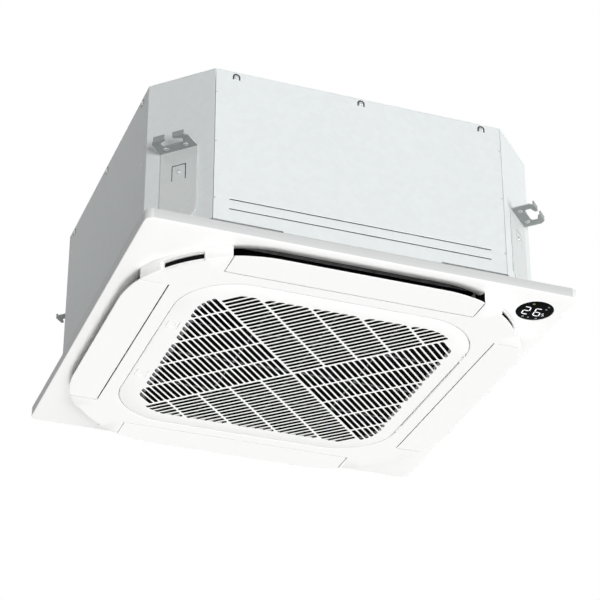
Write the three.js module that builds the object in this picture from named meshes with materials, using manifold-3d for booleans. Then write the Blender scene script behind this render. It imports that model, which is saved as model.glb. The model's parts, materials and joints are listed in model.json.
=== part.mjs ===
// Ceiling cassette air conditioner, drawn as its separate pieces.
// Millimetres, +Z up, +X to the right along the near side, +Y away from it.
// The origin is the centre of the lowest face, the grille's and the flaps' flush face.
import * as THREE from 'three';
import { mergeVertices, mergeGeometries } from 'three/addons/utils/BufferGeometryUtils.js';
import Module from 'manifold-3d';

const wasm = await Module();
wasm.setup();

// ---- driving sizes: decorative panel ----
const panelSize = 620;          // outside of the panel, both ways
const panelCornerRadius = 11;
const rimHeight = 15;           // panel's edge, from its face to the ceiling
const centreDrop = 17.2;        // how far the middle stands below the panel's border
const borderWidth = 14;         // flat border beside each outlet
const grooveWidth = 3.5;        // from the middle's edge to the border
const borderSweep = 180;        // radius of the border's inner edge round a corner
const shellWall = 2.5;
const faceWall = 2;             // thickness of the middle's face
const coandaRadius = 38;        // curved lip that turns the air along the ceiling
const ductTop = 50.2;           // upper end of the panel's air ducts
const ceilingHeight = centreDrop + rimHeight;

// ---- driving sizes: return grille ----
const grilleMargin = 23.6;      // from the grille's edge to the flaps
const grilleCornerRadius = 90;
const grilleGap = 1.2;          // running gap to the panel round the grille
const grillePlate = 2.2;
const grilleSkirt = 12;         // height of the grille's edge
const skirtWall = 2;
const slotMargin = 26.8;        // plain edge round the slots
const slotZoneRadius = 62;
const slotZoneCentre = [4, 3];
const slotPitch = 9.38;
const slotWidth = 6.5;
const cellPitch = 51.3;         // cross rib to cross rib along the slots
const crossRib = 3.2;
const mainRib = 4;
const hingePinRadius = 1.1;
const hingeOffset = 0.4;        // pin's centre, out from the grille's edge
const hingeHeight = 1.4;
const hingeSpacing = 240;

// ---- driving sizes: air flaps ----
const flapWidth = 52.1;
const flapPastCorner = 64;      // flap's end, past the centre of the round corner
const flapPlate = 2.2;
const flapEdgeGap = 1.8;        // opening left beside the inner edge
const flapEndGap = 1.3;
const pivotInset = 2.8;         // flap's pivot, out from its inner edge
const pivotHeight = 4.6;
const pivotRadius = 1.6;
const endWall = 3;
const endWallTop = 36;

// ---- driving sizes: chassis ----
const panelOverhang = 22.5;     // panel's edge past the chassis
const bodyChamfer = 73.4;       // corner cut, along each side
const sheetBottom = 49.2;
const bodyTop = 291.2;
const sheet = 1;
const seat = 0.3;               // gap between pieces that touch
const cornerFlange = 13;
const beadInset = 23.1;         // bead's end, in from the side's end
const beadHeights = [69.2, 84.2];
const beadWidth = 4;
const beadDepth = 1.4;
const bottomFlange = 18;
const lipFlange = 14;           // turned-down edge of the top panel

// ---- driving sizes: hanger brackets ----
const bracketWidth = 56;
const bracketPlate = 2;
const bracketHeight = 169;      // underside of the claw plate
const bracketReach = 34;
const bracketBottom = 57;
const rodSlotWidth = 12;
const rodPocketWidth = 32;
const rodPocketDepth = 10;
const lipHeight = 6;

// ---- driving sizes: foam parts, fan and coil ----
const panTop = 100;
const foamWall = 32.5;
const plenumRadius = 110;
const plenumGap = 50;           // air space between the coil and the foam
const coilThickness = 32;
const coilRadius = 50;
const troughDepth = 12;         // coil's foot below the top of the drain pan
const coilLidGap = 4.2;         // coil's top below the top of the chassis
const openCorner = 110;         // part of each coil side left out at the open corner
const fanGap = 23;              // fan to coil
const fanBottom = 112;
const shroudHeight = 38;
const throatLap = 6;            // bellmouth's rim inside the wheel's eye, both ways
const hubRimDrop = 45.2;        // hub's rim below the top of the chassis
const hubDepth = 62;
const bladeCount = 7;
const bladeWall = 3;
const motorDrop = 23.2;         // motor's top below the top of the chassis
const motorNest = 12;           // motor's lower end above the hub's foot
const shaftRadius = 4;
const displayInset = [43, 52];  // lens centre, in from the panel's edges
const displayRadius = 26.5;

const half = panelSize / 2;
const borderHalf = half - borderWidth;
const centreHalf = borderHalf - grooveWidth;
const cornerCentre = borderHalf - borderSweep;  // all the big round corners turn about this point
const flapInner = centreHalf - flapWidth;
const flapLength = 2 * (cornerCentre + flapPastCorner);
const grilleHalf = flapInner - grilleMargin;
const slotZoneSize = 2 * (grilleHalf - slotMargin);
const openingHalf = grilleHalf + grilleGap;
const openingRadius = grilleCornerRadius + grilleGap;
const windowInner = flapInner - flapEdgeGap;
const windowEnd = flapLength / 2 + flapEndGap;
const displayCentre = [half - displayInset[0], displayInset[1] - half];

const bodyHalf = half - panelOverhang;
const plenumSize = 2 * (bodyHalf - foamWall);
const outletInner = openingHalf - 1;
const outletOuter = borderHalf - coandaRadius + 1;
const coilSize = plenumSize - 2 * plenumGap;
const coilArm = coilSize / 2 - openCorner;
const coilBottom = panTop - troughDepth;
const coilTop = bodyTop - coilLidGap;
const hubRim = bodyTop - hubRimDrop;
const motorTop = bodyTop - motorDrop;
const motorBottom = hubRim - hubDepth + motorNest;
const shroudRim = fanBottom + shroudHeight;
const throatTop = fanBottom + throatLap;

// Radii of the wheel and its motor follow the wheel's size.
const fanRadius = coilSize / 2 - coilThickness - fanGap;
const eyeRadius = fanRadius * 11 / 15;
const throatRadius = eyeRadius - throatLap;
const bladeInner = fanRadius * 0.64;
const motorRadius = fanRadius * 31 / 75;
const mountRadius = fanRadius * 0.56;
const hubShoulder = fanRadius * 0.65;
const panHole = fanRadius;

// ---------------------------------------------------------------- helpers
const solidFrom = (position, index) => {
  const build = (triVerts) => new wasm.Manifold(new wasm.Mesh({
    numProp: 3,
    vertProperties: new Float32Array(position),
    triVerts: new Uint32Array(triVerts),
  }));
  const solid = build(index);
  return solid.volume() > 0 ? solid : build(Array.from(index).reverse());
};

const toSolid = (geometry) => {
  const bare = geometry.clone();
  for (const name of Object.keys(bare.attributes)) {
    if (name !== 'position') bare.deleteAttribute(name);
  }
  const merged = mergeVertices(bare, 1e-4);
  return solidFrom(merged.attributes.position.array, merged.index.array);
};

const toGeometry = (solid) => {
  const data = solid.getMesh();
  const geometry = new THREE.BufferGeometry();
  geometry.setAttribute('position', new THREE.BufferAttribute(new Float32Array(data.vertProperties), 3));
  geometry.setIndex(new THREE.BufferAttribute(new Uint32Array(data.triVerts), 1));
  return geometry;
};

// The same solid somewhere else; a mirrored one is turned right side out again.
const moved = (solid, matrix) => {
  const geometry = toGeometry(solid).applyMatrix4(matrix);
  return solidFrom(geometry.attributes.position.array, geometry.index.array);
};
const shifted = (solid, x, y, z) => moved(solid, new THREE.Matrix4().makeTranslation(x, y, z));
const spun = (solid, degrees) => moved(solid, new THREE.Matrix4().makeRotationZ(degrees * Math.PI / 180));
const mirroredY = (solid) => moved(solid, new THREE.Matrix4().makeScale(1, -1, 1));

const join = (first, ...rest) => rest.reduce((sum, piece) => sum.add(piece), first);
const cut = (first, ...rest) => rest.reduce((sum, piece) => sum.subtract(piece), first);

const boxGeometry = (x0, x1, y0, y1, z0, z1) =>
  new THREE.BoxGeometry(x1 - x0, y1 - y0, z1 - z0)
    .translate((x0 + x1) / 2, (y0 + y1) / 2, (z0 + z1) / 2);
const box = (...sides) => toSolid(boxGeometry(...sides));

const extrude = (shape, z0, z1, curveSegments = 4) =>
  toSolid(new THREE.ExtrudeGeometry(shape, { depth: z1 - z0, bevelEnabled: false, curveSegments })
    .translate(0, 0, z0));

// A flat outline in X and Z, pushed along Y from y0 to y1.
const extrudeY = (shape, y0, y1, curveSegments = 4) =>
  toSolid(new THREE.ExtrudeGeometry(shape, { depth: y1 - y0, bevelEnabled: false, curveSegments })
    .rotateX(Math.PI / 2).translate(0, y1, 0));

const lathe = (profile, segments = 32) => {
  const points = profile.map(([r, z]) => new THREE.Vector2(r, z));
  if (profile[0][0] > 0) points.push(points[0].clone());
  return toSolid(new THREE.LatheGeometry(points, segments).rotateX(Math.PI / 2));
};

const disc = (x, y, radius, z0, z1, segments = 20) =>
  toSolid(new THREE.CylinderGeometry(radius, radius, z1 - z0, segments)
    .rotateX(Math.PI / 2).translate(x, y, (z0 + z1) / 2));

// A round bar along X or Y.
const barX = (x0, x1, y, z, radius, segments = 12) =>
  toSolid(new THREE.CylinderGeometry(radius, radius, x1 - x0, segments)
    .rotateZ(Math.PI / 2).translate((x0 + x1) / 2, y, z));
const barY = (x, y0, y1, z, radius, segments = 12) =>
  toSolid(new THREE.CylinderGeometry(radius, radius, y1 - y0, segments).translate(x, (y0 + y1) / 2, z));

const polygon = (points) => {
  const shape = new THREE.Shape();
  points.forEach(([x, y], i) => (i ? shape.lineTo(x, y) : shape.moveTo(x, y)));
  shape.closePath();
  return shape;
};

// Points round a square with circular corners, the same number at every size.
const cornerSteps = 8;
const roundedPoints = (halfSize, radius, steps) => {
  const flat = halfSize - radius;
  const points = [];
  for (let corner = 0; corner < 4; corner += 1) {
    const sx = corner === 0 || corner === 3 ? 1 : -1;
    const sy = corner < 2 ? 1 : -1;
    for (let i = 0; i <= steps; i += 1) {
      const angle = (corner + i / steps) * Math.PI / 2;
      points.push([sx * flat + radius * Math.cos(angle), sy * flat + radius * Math.sin(angle)]);
    }
  }
  return points;
};
const roundedSquare = (halfSize, radius, steps = cornerSteps) =>
  polygon(roundedPoints(halfSize, radius, steps));

const octagon = (halfSize, chamfer) => {
  const flat = halfSize - chamfer;
  return polygon([[halfSize, -flat], [halfSize, flat], [flat, halfSize], [-flat, halfSize],
    [-halfSize, flat], [-halfSize, -flat], [-flat, -halfSize], [flat, -halfSize]]);
};

// The chassis outline moved inwards by an even distance all round.
const insetOctagon = (inset) => octagon(bodyHalf - inset, bodyChamfer - inset * (2 - Math.SQRT2));

// Rounded-square rings stacked into one solid: each ring is [half size, corner radius, height].
const stackRings = (rings, closed, steps = cornerSteps) => {
  const perRing = 4 * (steps + 1);
  const position = rings.flatMap(([halfSize, radius, z]) =>
    roundedPoints(halfSize, radius, steps).flatMap(([x, y]) => [x, y, z]));
  const index = [];
  const count = rings.length;
  for (let i = 0; i < (closed ? count : count - 1); i += 1) {
    for (let j = 0; j < perRing; j += 1) {
      const a = i * perRing + j;
      const b = i * perRing + (j + 1) % perRing;
      const c = ((i + 1) % count) * perRing + j;
      const d = ((i + 1) % count) * perRing + (j + 1) % perRing;
      index.push(a, b, d, a, d, c);
    }
  }
  if (!closed) {
    for (let j = 1; j < perRing - 1; j += 1) {
      const top = (count - 1) * perRing;
      index.push(0, j + 1, j, top, top + j, top + j + 1);
    }
  }
  const geometry = new THREE.BufferGeometry();
  geometry.setAttribute('position', new THREE.BufferAttribute(new Float32Array(position), 3));
  geometry.setIndex(index);
  return toSolid(geometry);
};

// A piece of a round wall about the panel's big corner centre, given in the corner (+X, +Y).
const cornerWall = (r0, r1, spread, z0, z1) => {
  const a0 = Math.PI / 4 - spread;
  const a1 = Math.PI / 4 + spread;
  const shape = new THREE.Shape();
  shape.absarc(cornerCentre, cornerCentre, r1, a0, a1);
  shape.absarc(cornerCentre, cornerCentre, r0, a1, a0, true);
  shape.closePath();
  return extrude(shape, z0, z1, 2);
};

// Sheet metal bent along an open line: the wall lies to the left of the line's direction.
const bentSheet = (line, wall) => {
  const outer = line.map(([x, y]) => new THREE.Vector2(x, y));
  const inner = outer.map((point, i) => {
    const before = outer[Math.max(i - 1, 0)];
    const after = outer[Math.min(i + 1, outer.length - 1)];
    const into = point.clone().sub(before).normalize();
    const away = after.clone().sub(point).normalize();
    if (i === 0) into.copy(away);
    if (i === outer.length - 1) away.copy(into);
    const normal = new THREE.Vector2(-into.y - away.y, into.x + away.x).normalize();
    const reach = wall / (normal.x * -into.y + normal.y * into.x);
    return point.clone().addScaledVector(normal, reach);
  });
  return polygon([...outer, ...inner.reverse()].map((p) => [p.x, p.y]));
};

const turned = (solid, quarterTurns) => spun(solid, 90 * quarterTurns);
const onAllSides = (solid) => join(solid, turned(solid, 1), turned(solid, 2), turned(solid, 3));

const paint = (color, roughness, metalness) =>
  new THREE.MeshStandardMaterial({ color, roughness, metalness });
const finishes = {
  whitePlastic: () => paint(0xf2f3f2, 0.42, 0),
  steel: () => paint(0xc9cdcc, 0.42, 0.85),
  blackPlastic: () => paint(0x141414, 0.3, 0),
  blackFoam: () => paint(0x1c1c1c, 0.95, 0),
  whiteFoam: () => paint(0xe9eaea, 0.9, 0),
  greyPlastic: () => paint(0xb9bdbd, 0.5, 0),
  motorSteel: () => paint(0x8f9496, 0.4, 0.8),
  rubber: () => paint(0x202020, 0.85, 0),
  copper: () => paint(0xb87346, 0.35, 0.9),
  brass: () => paint(0xc2a24e, 0.35, 0.9),
  aluminium: () => paint(0xc4c8cb, 0.45, 0.85),
  board: () => paint(0x1f5b36, 0.6, 0),
  filterNet: () => paint(0x55595b, 0.8, 0),
};

const unit = new THREE.Group();
const place = (name, solid, finish, quarterTurns = 0) => {
  const mesh = new THREE.Mesh(toGeometry(solid), finish());
  mesh.name = name;
  mesh.rotation.z = quarterTurns * Math.PI / 2;
  unit.add(mesh);
};

// ---------------------------------------------------------------- decorative panel
const coandaCentre = [borderHalf, centreDrop + coandaRadius];
const coandaArc = (radius, steps) => {
  const last = Math.acos((coandaCentre[1] - ductTop) / radius);
  return Array.from({ length: steps + 1 }, (_, i) => {
    const angle = last * i / steps;
    const ringHalf = coandaCentre[0] - radius * Math.sin(angle);
    return [ringHalf, ringHalf - cornerCentre, coandaCentre[1] - radius * Math.cos(angle)];
  });
};

const panelBorder = () => {
  const rimInner = half - shellWall;
  const back = centreDrop + shellWall;
  return stackRings([
    [half, panelCornerRadius, centreDrop],
    [half, panelCornerRadius, ceilingHeight],
    [rimInner, panelCornerRadius - shellWall, ceilingHeight],
    [rimInner, panelCornerRadius - shellWall, back],
    ...coandaArc(coandaRadius - shellWall, 4),
    ...coandaArc(coandaRadius, 5).reverse(),
  ], true);
};

// Everything on the air side of the curved lip, used to trim what meets it.
const ductPlug = () => stackRings([
  [centreHalf - 0.5, centreHalf - 0.5 - cornerCentre, -1],
  [centreHalf - 0.5, centreHalf - 0.5 - cornerCentre, centreDrop + 1],
  ...coandaArc(coandaRadius - shellWall / 2, 4).slice(1),
], false);

// Flat seat for the foam seal under the chassis.
const sealLand = () => {
  const shape = octagon(bodyHalf + 2, bodyChamfer + 1);
  shape.holes.push(roundedSquare(centreHalf - 13, centreHalf - 13 - cornerCentre));
  return extrude(shape, centreDrop + 4.8, ceilingHeight);
};

const openingRing = () => stackRings([
  [openingHalf, openingRadius, 0],
  [windowInner, 50, 0],
  [windowInner, 50, faceWall],
  [windowInner - 6.6, 46, faceWall],
  [openingHalf + 6, 40, endWallTop],
  [openingHalf + 6, 40, ductTop],
  [openingHalf, openingRadius, ductTop],
], true);

const cornerSlotDepth = 5;
const cornerSlotSpread = 11 * Math.PI / 180;
const slotFrameWall = 2;

const panelCorners = () => {
  const outer = centreHalf - cornerCentre;
  const face = roundedSquare(centreHalf, outer);
  face.holes.push(roundedSquare(openingHalf + 3, openingRadius + 3));
  const plate = extrude(face, 0, faceWall);
  const wallShape = roundedSquare(centreHalf, outer);
  wallShape.holes.push(roundedSquare(centreHalf - shellWall, outer - shellWall));
  const wall = extrude(wallShape, 0, centreDrop + shellWall / 2);
  const window = box(windowInner, half, -windowEnd, windowEnd, -1, ductTop + 1);
  const rimRadius = outer - cornerSlotDepth;
  const slotFrame = cornerWall(rimRadius - slotFrameWall, outer, cornerSlotSpread + 0.012, 0, 15);
  const notch = cornerWall(rimRadius, outer + 6, cornerSlotSpread, -1, 13);
  const slot = cornerWall(rimRadius - 6, rimRadius + 1, cornerSlotSpread - 0.015, 4, 12);
  const corners = join(cut(join(plate, wall), onAllSides(window)), onAllSides(slotFrame));
  return { corners, openings: onAllSides(join(notch, slot)) };
};

const endWalls = () => {
  const wall = box(openingHalf + 5, centreHalf, windowEnd, windowEnd + endWall, 0, endWallTop);
  const pair = join(wall, mirroredY(wall));
  const pivotBore = barY(flapInner + pivotInset, -panelSize, panelSize, pivotHeight, pivotRadius + seat, 12);
  return onAllSides(cut(pair.intersect(ductPlug()), pivotBore));
};

const boltEnd = 66;
const boltTab = { at: openingHalf - 38, radius: 12, bottom: 44, top: 48, hole: 3.4 };
const boltTabs = () => {
  const { at, radius, bottom, top } = boltTab;
  const arm = box(at - radius / 2, openingHalf - 20, at - radius, at + radius, bottom, top);
  const tab = join(disc(at, at, radius, bottom, top, 12), arm);
  return onAllSides(tab);
};

// Fixed hinge pins between pairs of ears, at the opening's right edge.
const hingeX = grilleHalf + hingeOffset;
const earWall = 3;
const earPitch = 12;
const earTop = 5;
const hookWall = 1;
const hookReach = hingePinRadius + seat + hookWall;
const hingePlaces = [-hingeSpacing / 2, hingeSpacing / 2];
const hingeEars = () => {
  const ears = [];
  for (const y of hingePlaces) {
    for (const side of [-1, 1]) {
      const middle = y + side * (earPitch + earWall) / 2;
      ears.push(box(hingeX - hingePinRadius, openingHalf + 1, middle - earWall / 2, middle + earWall / 2,
        seat, earTop));
    }
    ears.push(barY(hingeX, y - earPitch / 2 - 1, y + earPitch / 2 + 1, hingeHeight, hingePinRadius, 10));
  }
  return join(...ears);
};

// Pockets in the opening's wall that let the grille's hooks turn round the pins.
const hingePockets = () => join(...hingePlaces.map((y) => box(openingHalf - 1, hingeX + hookReach + 2 * seat,
  y - earPitch / 2, y + earPitch / 2, 1, hingeHeight + hookReach * Math.SQRT2 + seat)));

const displayBackFlange = 2.5;
const buildPanelFrame = () => {
  const { corners, openings } = panelCorners();
  const tabHoles = onAllSides(disc(boltTab.at, boltTab.at, boltTab.hole, 0, ductTop, 12));
  const [dx, dy] = displayCentre;
  const body = join(panelBorder(), sealLand(), openingRing(), corners, endWalls(), boltTabs());
  const cleared = cut(body, openings, tabHoles, hingePockets(),
    disc(dx, dy, displayRadius + seat, 0, ductTop, 24),
    disc(dx, dy, displayRadius + displayBackFlange + 2 * seat, centreDrop + shellWall, ductTop, 24));
  return join(cleared, hingeEars());
};

// ---------------------------------------------------------------- display
const buildDisplayLens = () => {
  const [x, y] = displayCentre;
  const dome = lathe([[0, 0], [displayRadius - 1.2, 0], [displayRadius, 0.8],
    [displayRadius, shellWall + seat], [0, shellWall + seat]], 24);
  return shifted(dome, x, y, centreDrop);
};

const buildDisplayHousing = () => {
  const [x, y] = displayCentre;
  const z = centreDrop + shellWall + 2 * seat;
  const flange = displayRadius + displayBackFlange;
  return shifted(lathe([[0, 0], [flange, 0], [flange, 2], [displayRadius - 1, 2], [displayRadius - 1, 10.5],
    [displayRadius - 3, 10.5], [displayRadius - 3, 3], [0, 3]], 18), x, y, z);
};

// ---------------------------------------------------------------- return grille
const catchInset = 14.8;
const catchCentres = [77, -77].map((y) => [catchInset - grilleHalf, y]);
const catchPad = [16, 21.6];
const catchGap = 0.4;

// Slots run at 45 degrees in four sectors, like a pinwheel round the middle.
const grilleSlots = () => {
  const slots = [];
  const slotLength = cellPitch - crossRib;
  const zone = slotZoneSize / 2;
  const flat = zone - slotZoneRadius;
  const inside = (x, y) => {
    const dx = Math.max(Math.abs(x) - flat, 0);
    const dy = Math.max(Math.abs(y) - flat, 0);
    return Math.hypot(dx, dy) < slotZoneRadius - slotWidth * 0.35;
  };
  const cells = Math.ceil(zone * Math.SQRT2 / cellPitch);
  const rows = Math.ceil(zone * Math.SQRT2 / slotPitch);
  for (let sector = 0; sector < 4; sector += 1) {
    const along = (5 / 4 + sector / 2) * Math.PI;
    const across = along - Math.PI / 2;
    for (let cell = 0; cell < cells; cell += 1) {
      for (let row = 0; row < rows; row += 1) {
        const start = mainRib / 2 + cell * cellPitch;
        const t = mainRib / 2 + slotWidth / 2 + row * slotPitch;
        const at = (s) => [
          s * Math.cos(along) + t * Math.cos(across),
          s * Math.sin(along) + t * Math.sin(across),
        ];
        const reach = [0, 0.25, 0.5, 0.75, 1].filter((f) => inside(...at(start + f * slotLength)));
        if (reach.length < 2) continue;
        const [x, y] = at(start + slotLength / 2);
        slots.push(new THREE.BoxGeometry(slotLength, slotWidth, 4 * grillePlate)
          .rotateZ(along).translate(x, y, grillePlate / 2));
      }
    }
  }
  const border = extrude(roundedSquare(zone, slotZoneRadius, 5), -grillePlate, 2 * grillePlate);
  return shifted(toSolid(mergeGeometries(slots)).intersect(border), ...slotZoneCentre, 0);
};

const edgeBevel = 2.4;          // lets the hinge edge turn past the opening's wall
const hookRoot = 6;             // hooks' feet on the plate, in from the pins
const buildGrille = () => {
  const plate = extrude(roundedSquare(grilleHalf, grilleCornerRadius), 0, grillePlate);
  const skirtShape = roundedSquare(grilleHalf, grilleCornerRadius);
  skirtShape.holes.push(roundedSquare(grilleHalf - skirtWall, grilleCornerRadius - skirtWall));
  const skirt = extrude(skirtShape, grillePlate / 2, grilleSkirt);
  const cuts = catchCentres.map(([x, y]) => join(
    box(x - catchPad[0] / 2 - catchGap, x + catchPad[0] / 2 + catchGap,
      y - catchPad[1] / 2 - catchGap, y + catchPad[1] / 2 + catchGap, -1, grillePlate + 1),
    box(-grilleHalf - 1, -grilleHalf + skirtWall + 1, y - 7, y + 7, grillePlate, grilleSkirt + 1),
  ));
  const hooks = [];
  for (const y of hingePlaces) {
    const hookHalf = earPitch / 2 - 1;
    const notchHalf = earPitch / 2 + earWall + 1;
    cuts.push(
      box(hingeX - hookRoot - 1, grilleHalf + 1, y - notchHalf, y + notchHalf, grillePlate, grilleSkirt + 1),
      box(hingeX - hingePinRadius - 2 * seat, grilleHalf + 1, y - notchHalf, y + notchHalf,
        -1, grillePlate + 1),
    );
    const hook = box(hingeX - hookRoot, hingeX + hookReach, y - hookHalf, y + hookHalf,
      grillePlate / 2, hingeHeight + hookReach);
    const bore = barY(hingeX, y - earPitch, y + earPitch, hingeHeight, hingePinRadius + seat, 10);
    const mouth = box(hingeX - hingePinRadius - seat, hingeX + hookReach + 1, y - earPitch, y + earPitch,
      -1, hingeHeight);
    hooks.push(cut(hook, bore, mouth));
  }
  const edge = extrudeY(polygon([[grilleHalf - edgeBevel - 1, -1], [grilleHalf + 1, -1],
    [grilleHalf + 1, edgeBevel + 1]]), -grilleHalf, grilleHalf);
  return join(cut(join(plate, skirt), grilleSlots(), ...cuts, edge), ...hooks);
};

const catchFlange = { back: 3, front: 4.2, side: 3.2, thickness: 2.2 };
const catchTongue = { half: 6, lift: 0.6, rise: 1.8 };
const catchGrip = { half: 3, side: 7, depth: 0.6 };
const buildCatch = ([x, y]) => {
  const wide = catchPad[0] / 2;
  const deep = catchPad[1] / 2;
  const low = grillePlate + seat;
  const high = low + catchFlange.thickness;
  const pad = box(x - wide, x + wide, y - deep, y + deep, 0, high);
  const flange = box(x - wide - catchFlange.back, x + wide + catchFlange.front,
    y - deep - catchFlange.side, y + deep + catchFlange.side, low, high);
  const tongue = box(seat - openingHalf, x, y - catchTongue.half, y + catchTongue.half,
    low + catchTongue.lift, high + catchTongue.rise);
  const grip = box(x - catchGrip.half, x + catchGrip.half, y - catchGrip.side, y + catchGrip.side,
    -1, catchGrip.depth);
  return cut(join(pad, flange, tongue), grip);
};

const filterCentre = [slotZoneCentre[0] + 2, slotZoneCentre[1]];
const filterHalf = slotZoneSize / 2;
const filterBar = 2;
const filterCells = 4;
const filterRim = 5;
const filterBottom = grillePlate + seat;
const buildFilterFrame = () => {
  const inner = filterHalf - filterRim;
  const zone = roundedSquare(filterHalf, slotZoneRadius, 5);
  const pitch = 2 * inner / filterCells;
  const cells = [];
  for (let i = 0; i < filterCells; i += 1) {
    for (let j = 0; j < filterCells; j += 1) {
      const x = -inner + pitch * i;
      const y = -inner + pitch * j;
      cells.push(boxGeometry(x + filterBar / 2, x + pitch - filterBar / 2,
        y + filterBar / 2, y + pitch - filterBar / 2, 0, 20));
    }
  }
  const inside = extrude(roundedSquare(inner, slotZoneRadius - filterRim, 5), 0, 20);
  const above = extrude(roundedSquare(inner, slotZoneRadius - filterRim, 5), filterBottom + 2, 20);
  const plate = extrude(zone, filterBottom, filterBottom + 5);
  return shifted(cut(plate, toSolid(mergeGeometries(cells)).intersect(inside), above), ...filterCentre, 0);
};

const buildFilterMesh = () =>
  shifted(extrude(roundedSquare(filterHalf - filterRim - seat, slotZoneRadius - filterRim - seat, 5),
    filterBottom + 2 + seat, filterBottom + 2 + seat + 0.8), ...filterCentre, 0);

// ---------------------------------------------------------------- air flaps, drawn for the right side
const buildFlap = () => {
  const end = flapLength / 2;
  const radius = centreHalf - cornerCentre;
  const tipAngle = Math.asin((end - cornerCentre) / radius);
  const outline = new THREE.Shape();
  outline.moveTo(flapInner, end);
  outline.lineTo(flapInner, -end);
  outline.absarc(cornerCentre, -cornerCentre, radius, -tipAngle, 0);
  outline.absarc(cornerCentre, cornerCentre, radius, 0, tipAngle);
  outline.closePath();
  const plate = extrude(outline, 0, flapPlate, 2);
  const bevelLine = polygon([[flapInner - 1, -1], [flapInner + 2, -1], [flapInner - 1, 2]]);
  const bevel = extrudeY(bevelLine, -end - 1, end + 1);
  const x = flapInner + pivotInset;
  const parts = [];
  for (const side of [-1, 1]) {
    const near = side * (end - 10);
    const far = side * end;
    const boss = box(flapInner + 0.4, x + 3, Math.min(near, far), Math.max(near, far),
      flapPlate / 2, pivotHeight + pivotRadius);
    const tip = side * (windowEnd + endWall / 2);
    parts.push(boss, barY(x, Math.min(near, tip), Math.max(near, tip), pivotHeight, pivotRadius, 10));
  }
  const ribX = (flapInner + centreHalf) / 2;
  parts.push(box(ribX - 0.8, ribX + 0.8, -end + 14, end - 14, flapPlate / 2, flapPlate + 2.4));
  for (let i = -1; i <= 1; i += 1) {
    const y = i * flapLength / 3;
    parts.push(box(flapInner + 3, centreHalf - 10, y - 0.8, y + 0.8, flapPlate / 2, flapPlate + 1.6));
  }
  return join(cut(plate, bevel), ...parts);
};

const stepper = { radius: 9, length: 15, shaftOffset: 6.8, earPlate: 1.5, earHalf: 4, earReach: [10.5, 14] };
const buildFlapMotor = () => {
  const { radius, length, earPlate, earHalf, earReach } = stepper;
  const x = flapInner + pivotInset;
  const z = pivotHeight + stepper.shaftOffset;
  const face = windowEnd + endWall + seat;
  const can = barY(x, face, face + length, z, radius, 12);
  const ears = box(x - earReach[0], x + earReach[1], face, face + earPlate, z - earHalf, z + earHalf);
  const shaft = barY(x, windowEnd + endWall / 2 + seat, face + 1, pivotHeight, pivotRadius - 0.1, 12);
  const terminal = box(x - 5, x + 5, face + 3, face + length - 3, z + radius - 2, z + radius + 4);
  return join(can, ears, shaft, terminal);
};

// ---------------------------------------------------------------- chassis sheet metal
const flatHalf = bodyHalf - bodyChamfer;
const sidePanel = (length) => {
  const end = length / 2;
  const top = bodyTop - sheet - seat;
  const profile = bentSheet([[bodyHalf, top], [bodyHalf, sheetBottom],
    [bodyHalf - bottomFlange, sheetBottom]].reverse(), sheet);
  const skin = extrudeY(profile, -end, end, 1);
  const beadEnd = flatHalf - beadInset;
  const grooves = [];
  const ridges = [];
  for (const z of beadHeights) {
    const groove = polygon([[bodyHalf + 1, z - beadWidth / 2 - 1], [bodyHalf + 1, z + beadWidth / 2 + 1],
      [bodyHalf - beadDepth, z + 0.6], [bodyHalf - beadDepth, z - 0.6]]);
    const back = bodyHalf - sheet;
    const ridge = polygon([[back + 0.5, z - beadWidth / 2 - 0.5], [back + 0.5, z + beadWidth / 2 + 0.5],
      [back - beadDepth, z + 1], [back - beadDepth, z - 1]]);
    grooves.push(extrudeY(groove, -beadEnd, beadEnd));
    ridges.push(extrudeY(ridge, -beadEnd - 1, beadEnd + 1));
  }
  return cut(join(skin, ...ridges), ...grooves);
};

const sideTongue = { half: 115, drop: 2.2 };
const buildLongSidePanel = () => {
  const { half: reach, drop } = sideTongue;
  const tongue = box(bodyHalf - sheet, bodyHalf, -reach, reach, sheetBottom - drop, sheetBottom + sheet);
  return join(sidePanel(2 * (flatHalf - 3 * seat)), tongue);
};
const shortPanelLength = 2 * (flatHalf - cornerFlange - 2 * seat);

// Corner sheet between the right side and the far side, with a flange lying in the right side's plane.
const buildCornerPanel = () => {
  const line = [[bodyHalf, flatHalf - cornerFlange], [bodyHalf, flatHalf],
    [flatHalf + seat, bodyHalf - seat]];
  return extrude(bentSheet(line, sheet), sheetBottom, bodyTop - sheet - seat);
};

const dishRadius = mountRadius + 34;
const dishDepth = 4;
const buildTopPanel = () => {
  const under = bodyTop - sheet;
  const plate = cut(extrude(octagon(bodyHalf, bodyChamfer), under, bodyTop),
    disc(0, 0, dishRadius, under - 1, bodyTop + 1, 24));
  const dish = shifted(lathe([[0, -dishDepth], [dishRadius - dishDepth, -dishDepth], [dishRadius + 1.5, 0],
    [dishRadius + 1.5, sheet], [dishRadius - 1.2, sheet], [dishRadius - dishDepth - 0.4, sheet - dishDepth],
    [0, sheet - dishDepth]], 24), 0, 0, under);
  const flangeShape = insetOctagon(sheet + seat);
  flangeShape.holes.push(insetOctagon(2 * sheet + seat));
  const flange = extrude(flangeShape, under - lipFlange, under + sheet / 2);
  return join(plate, dish, flange);
};

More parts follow.
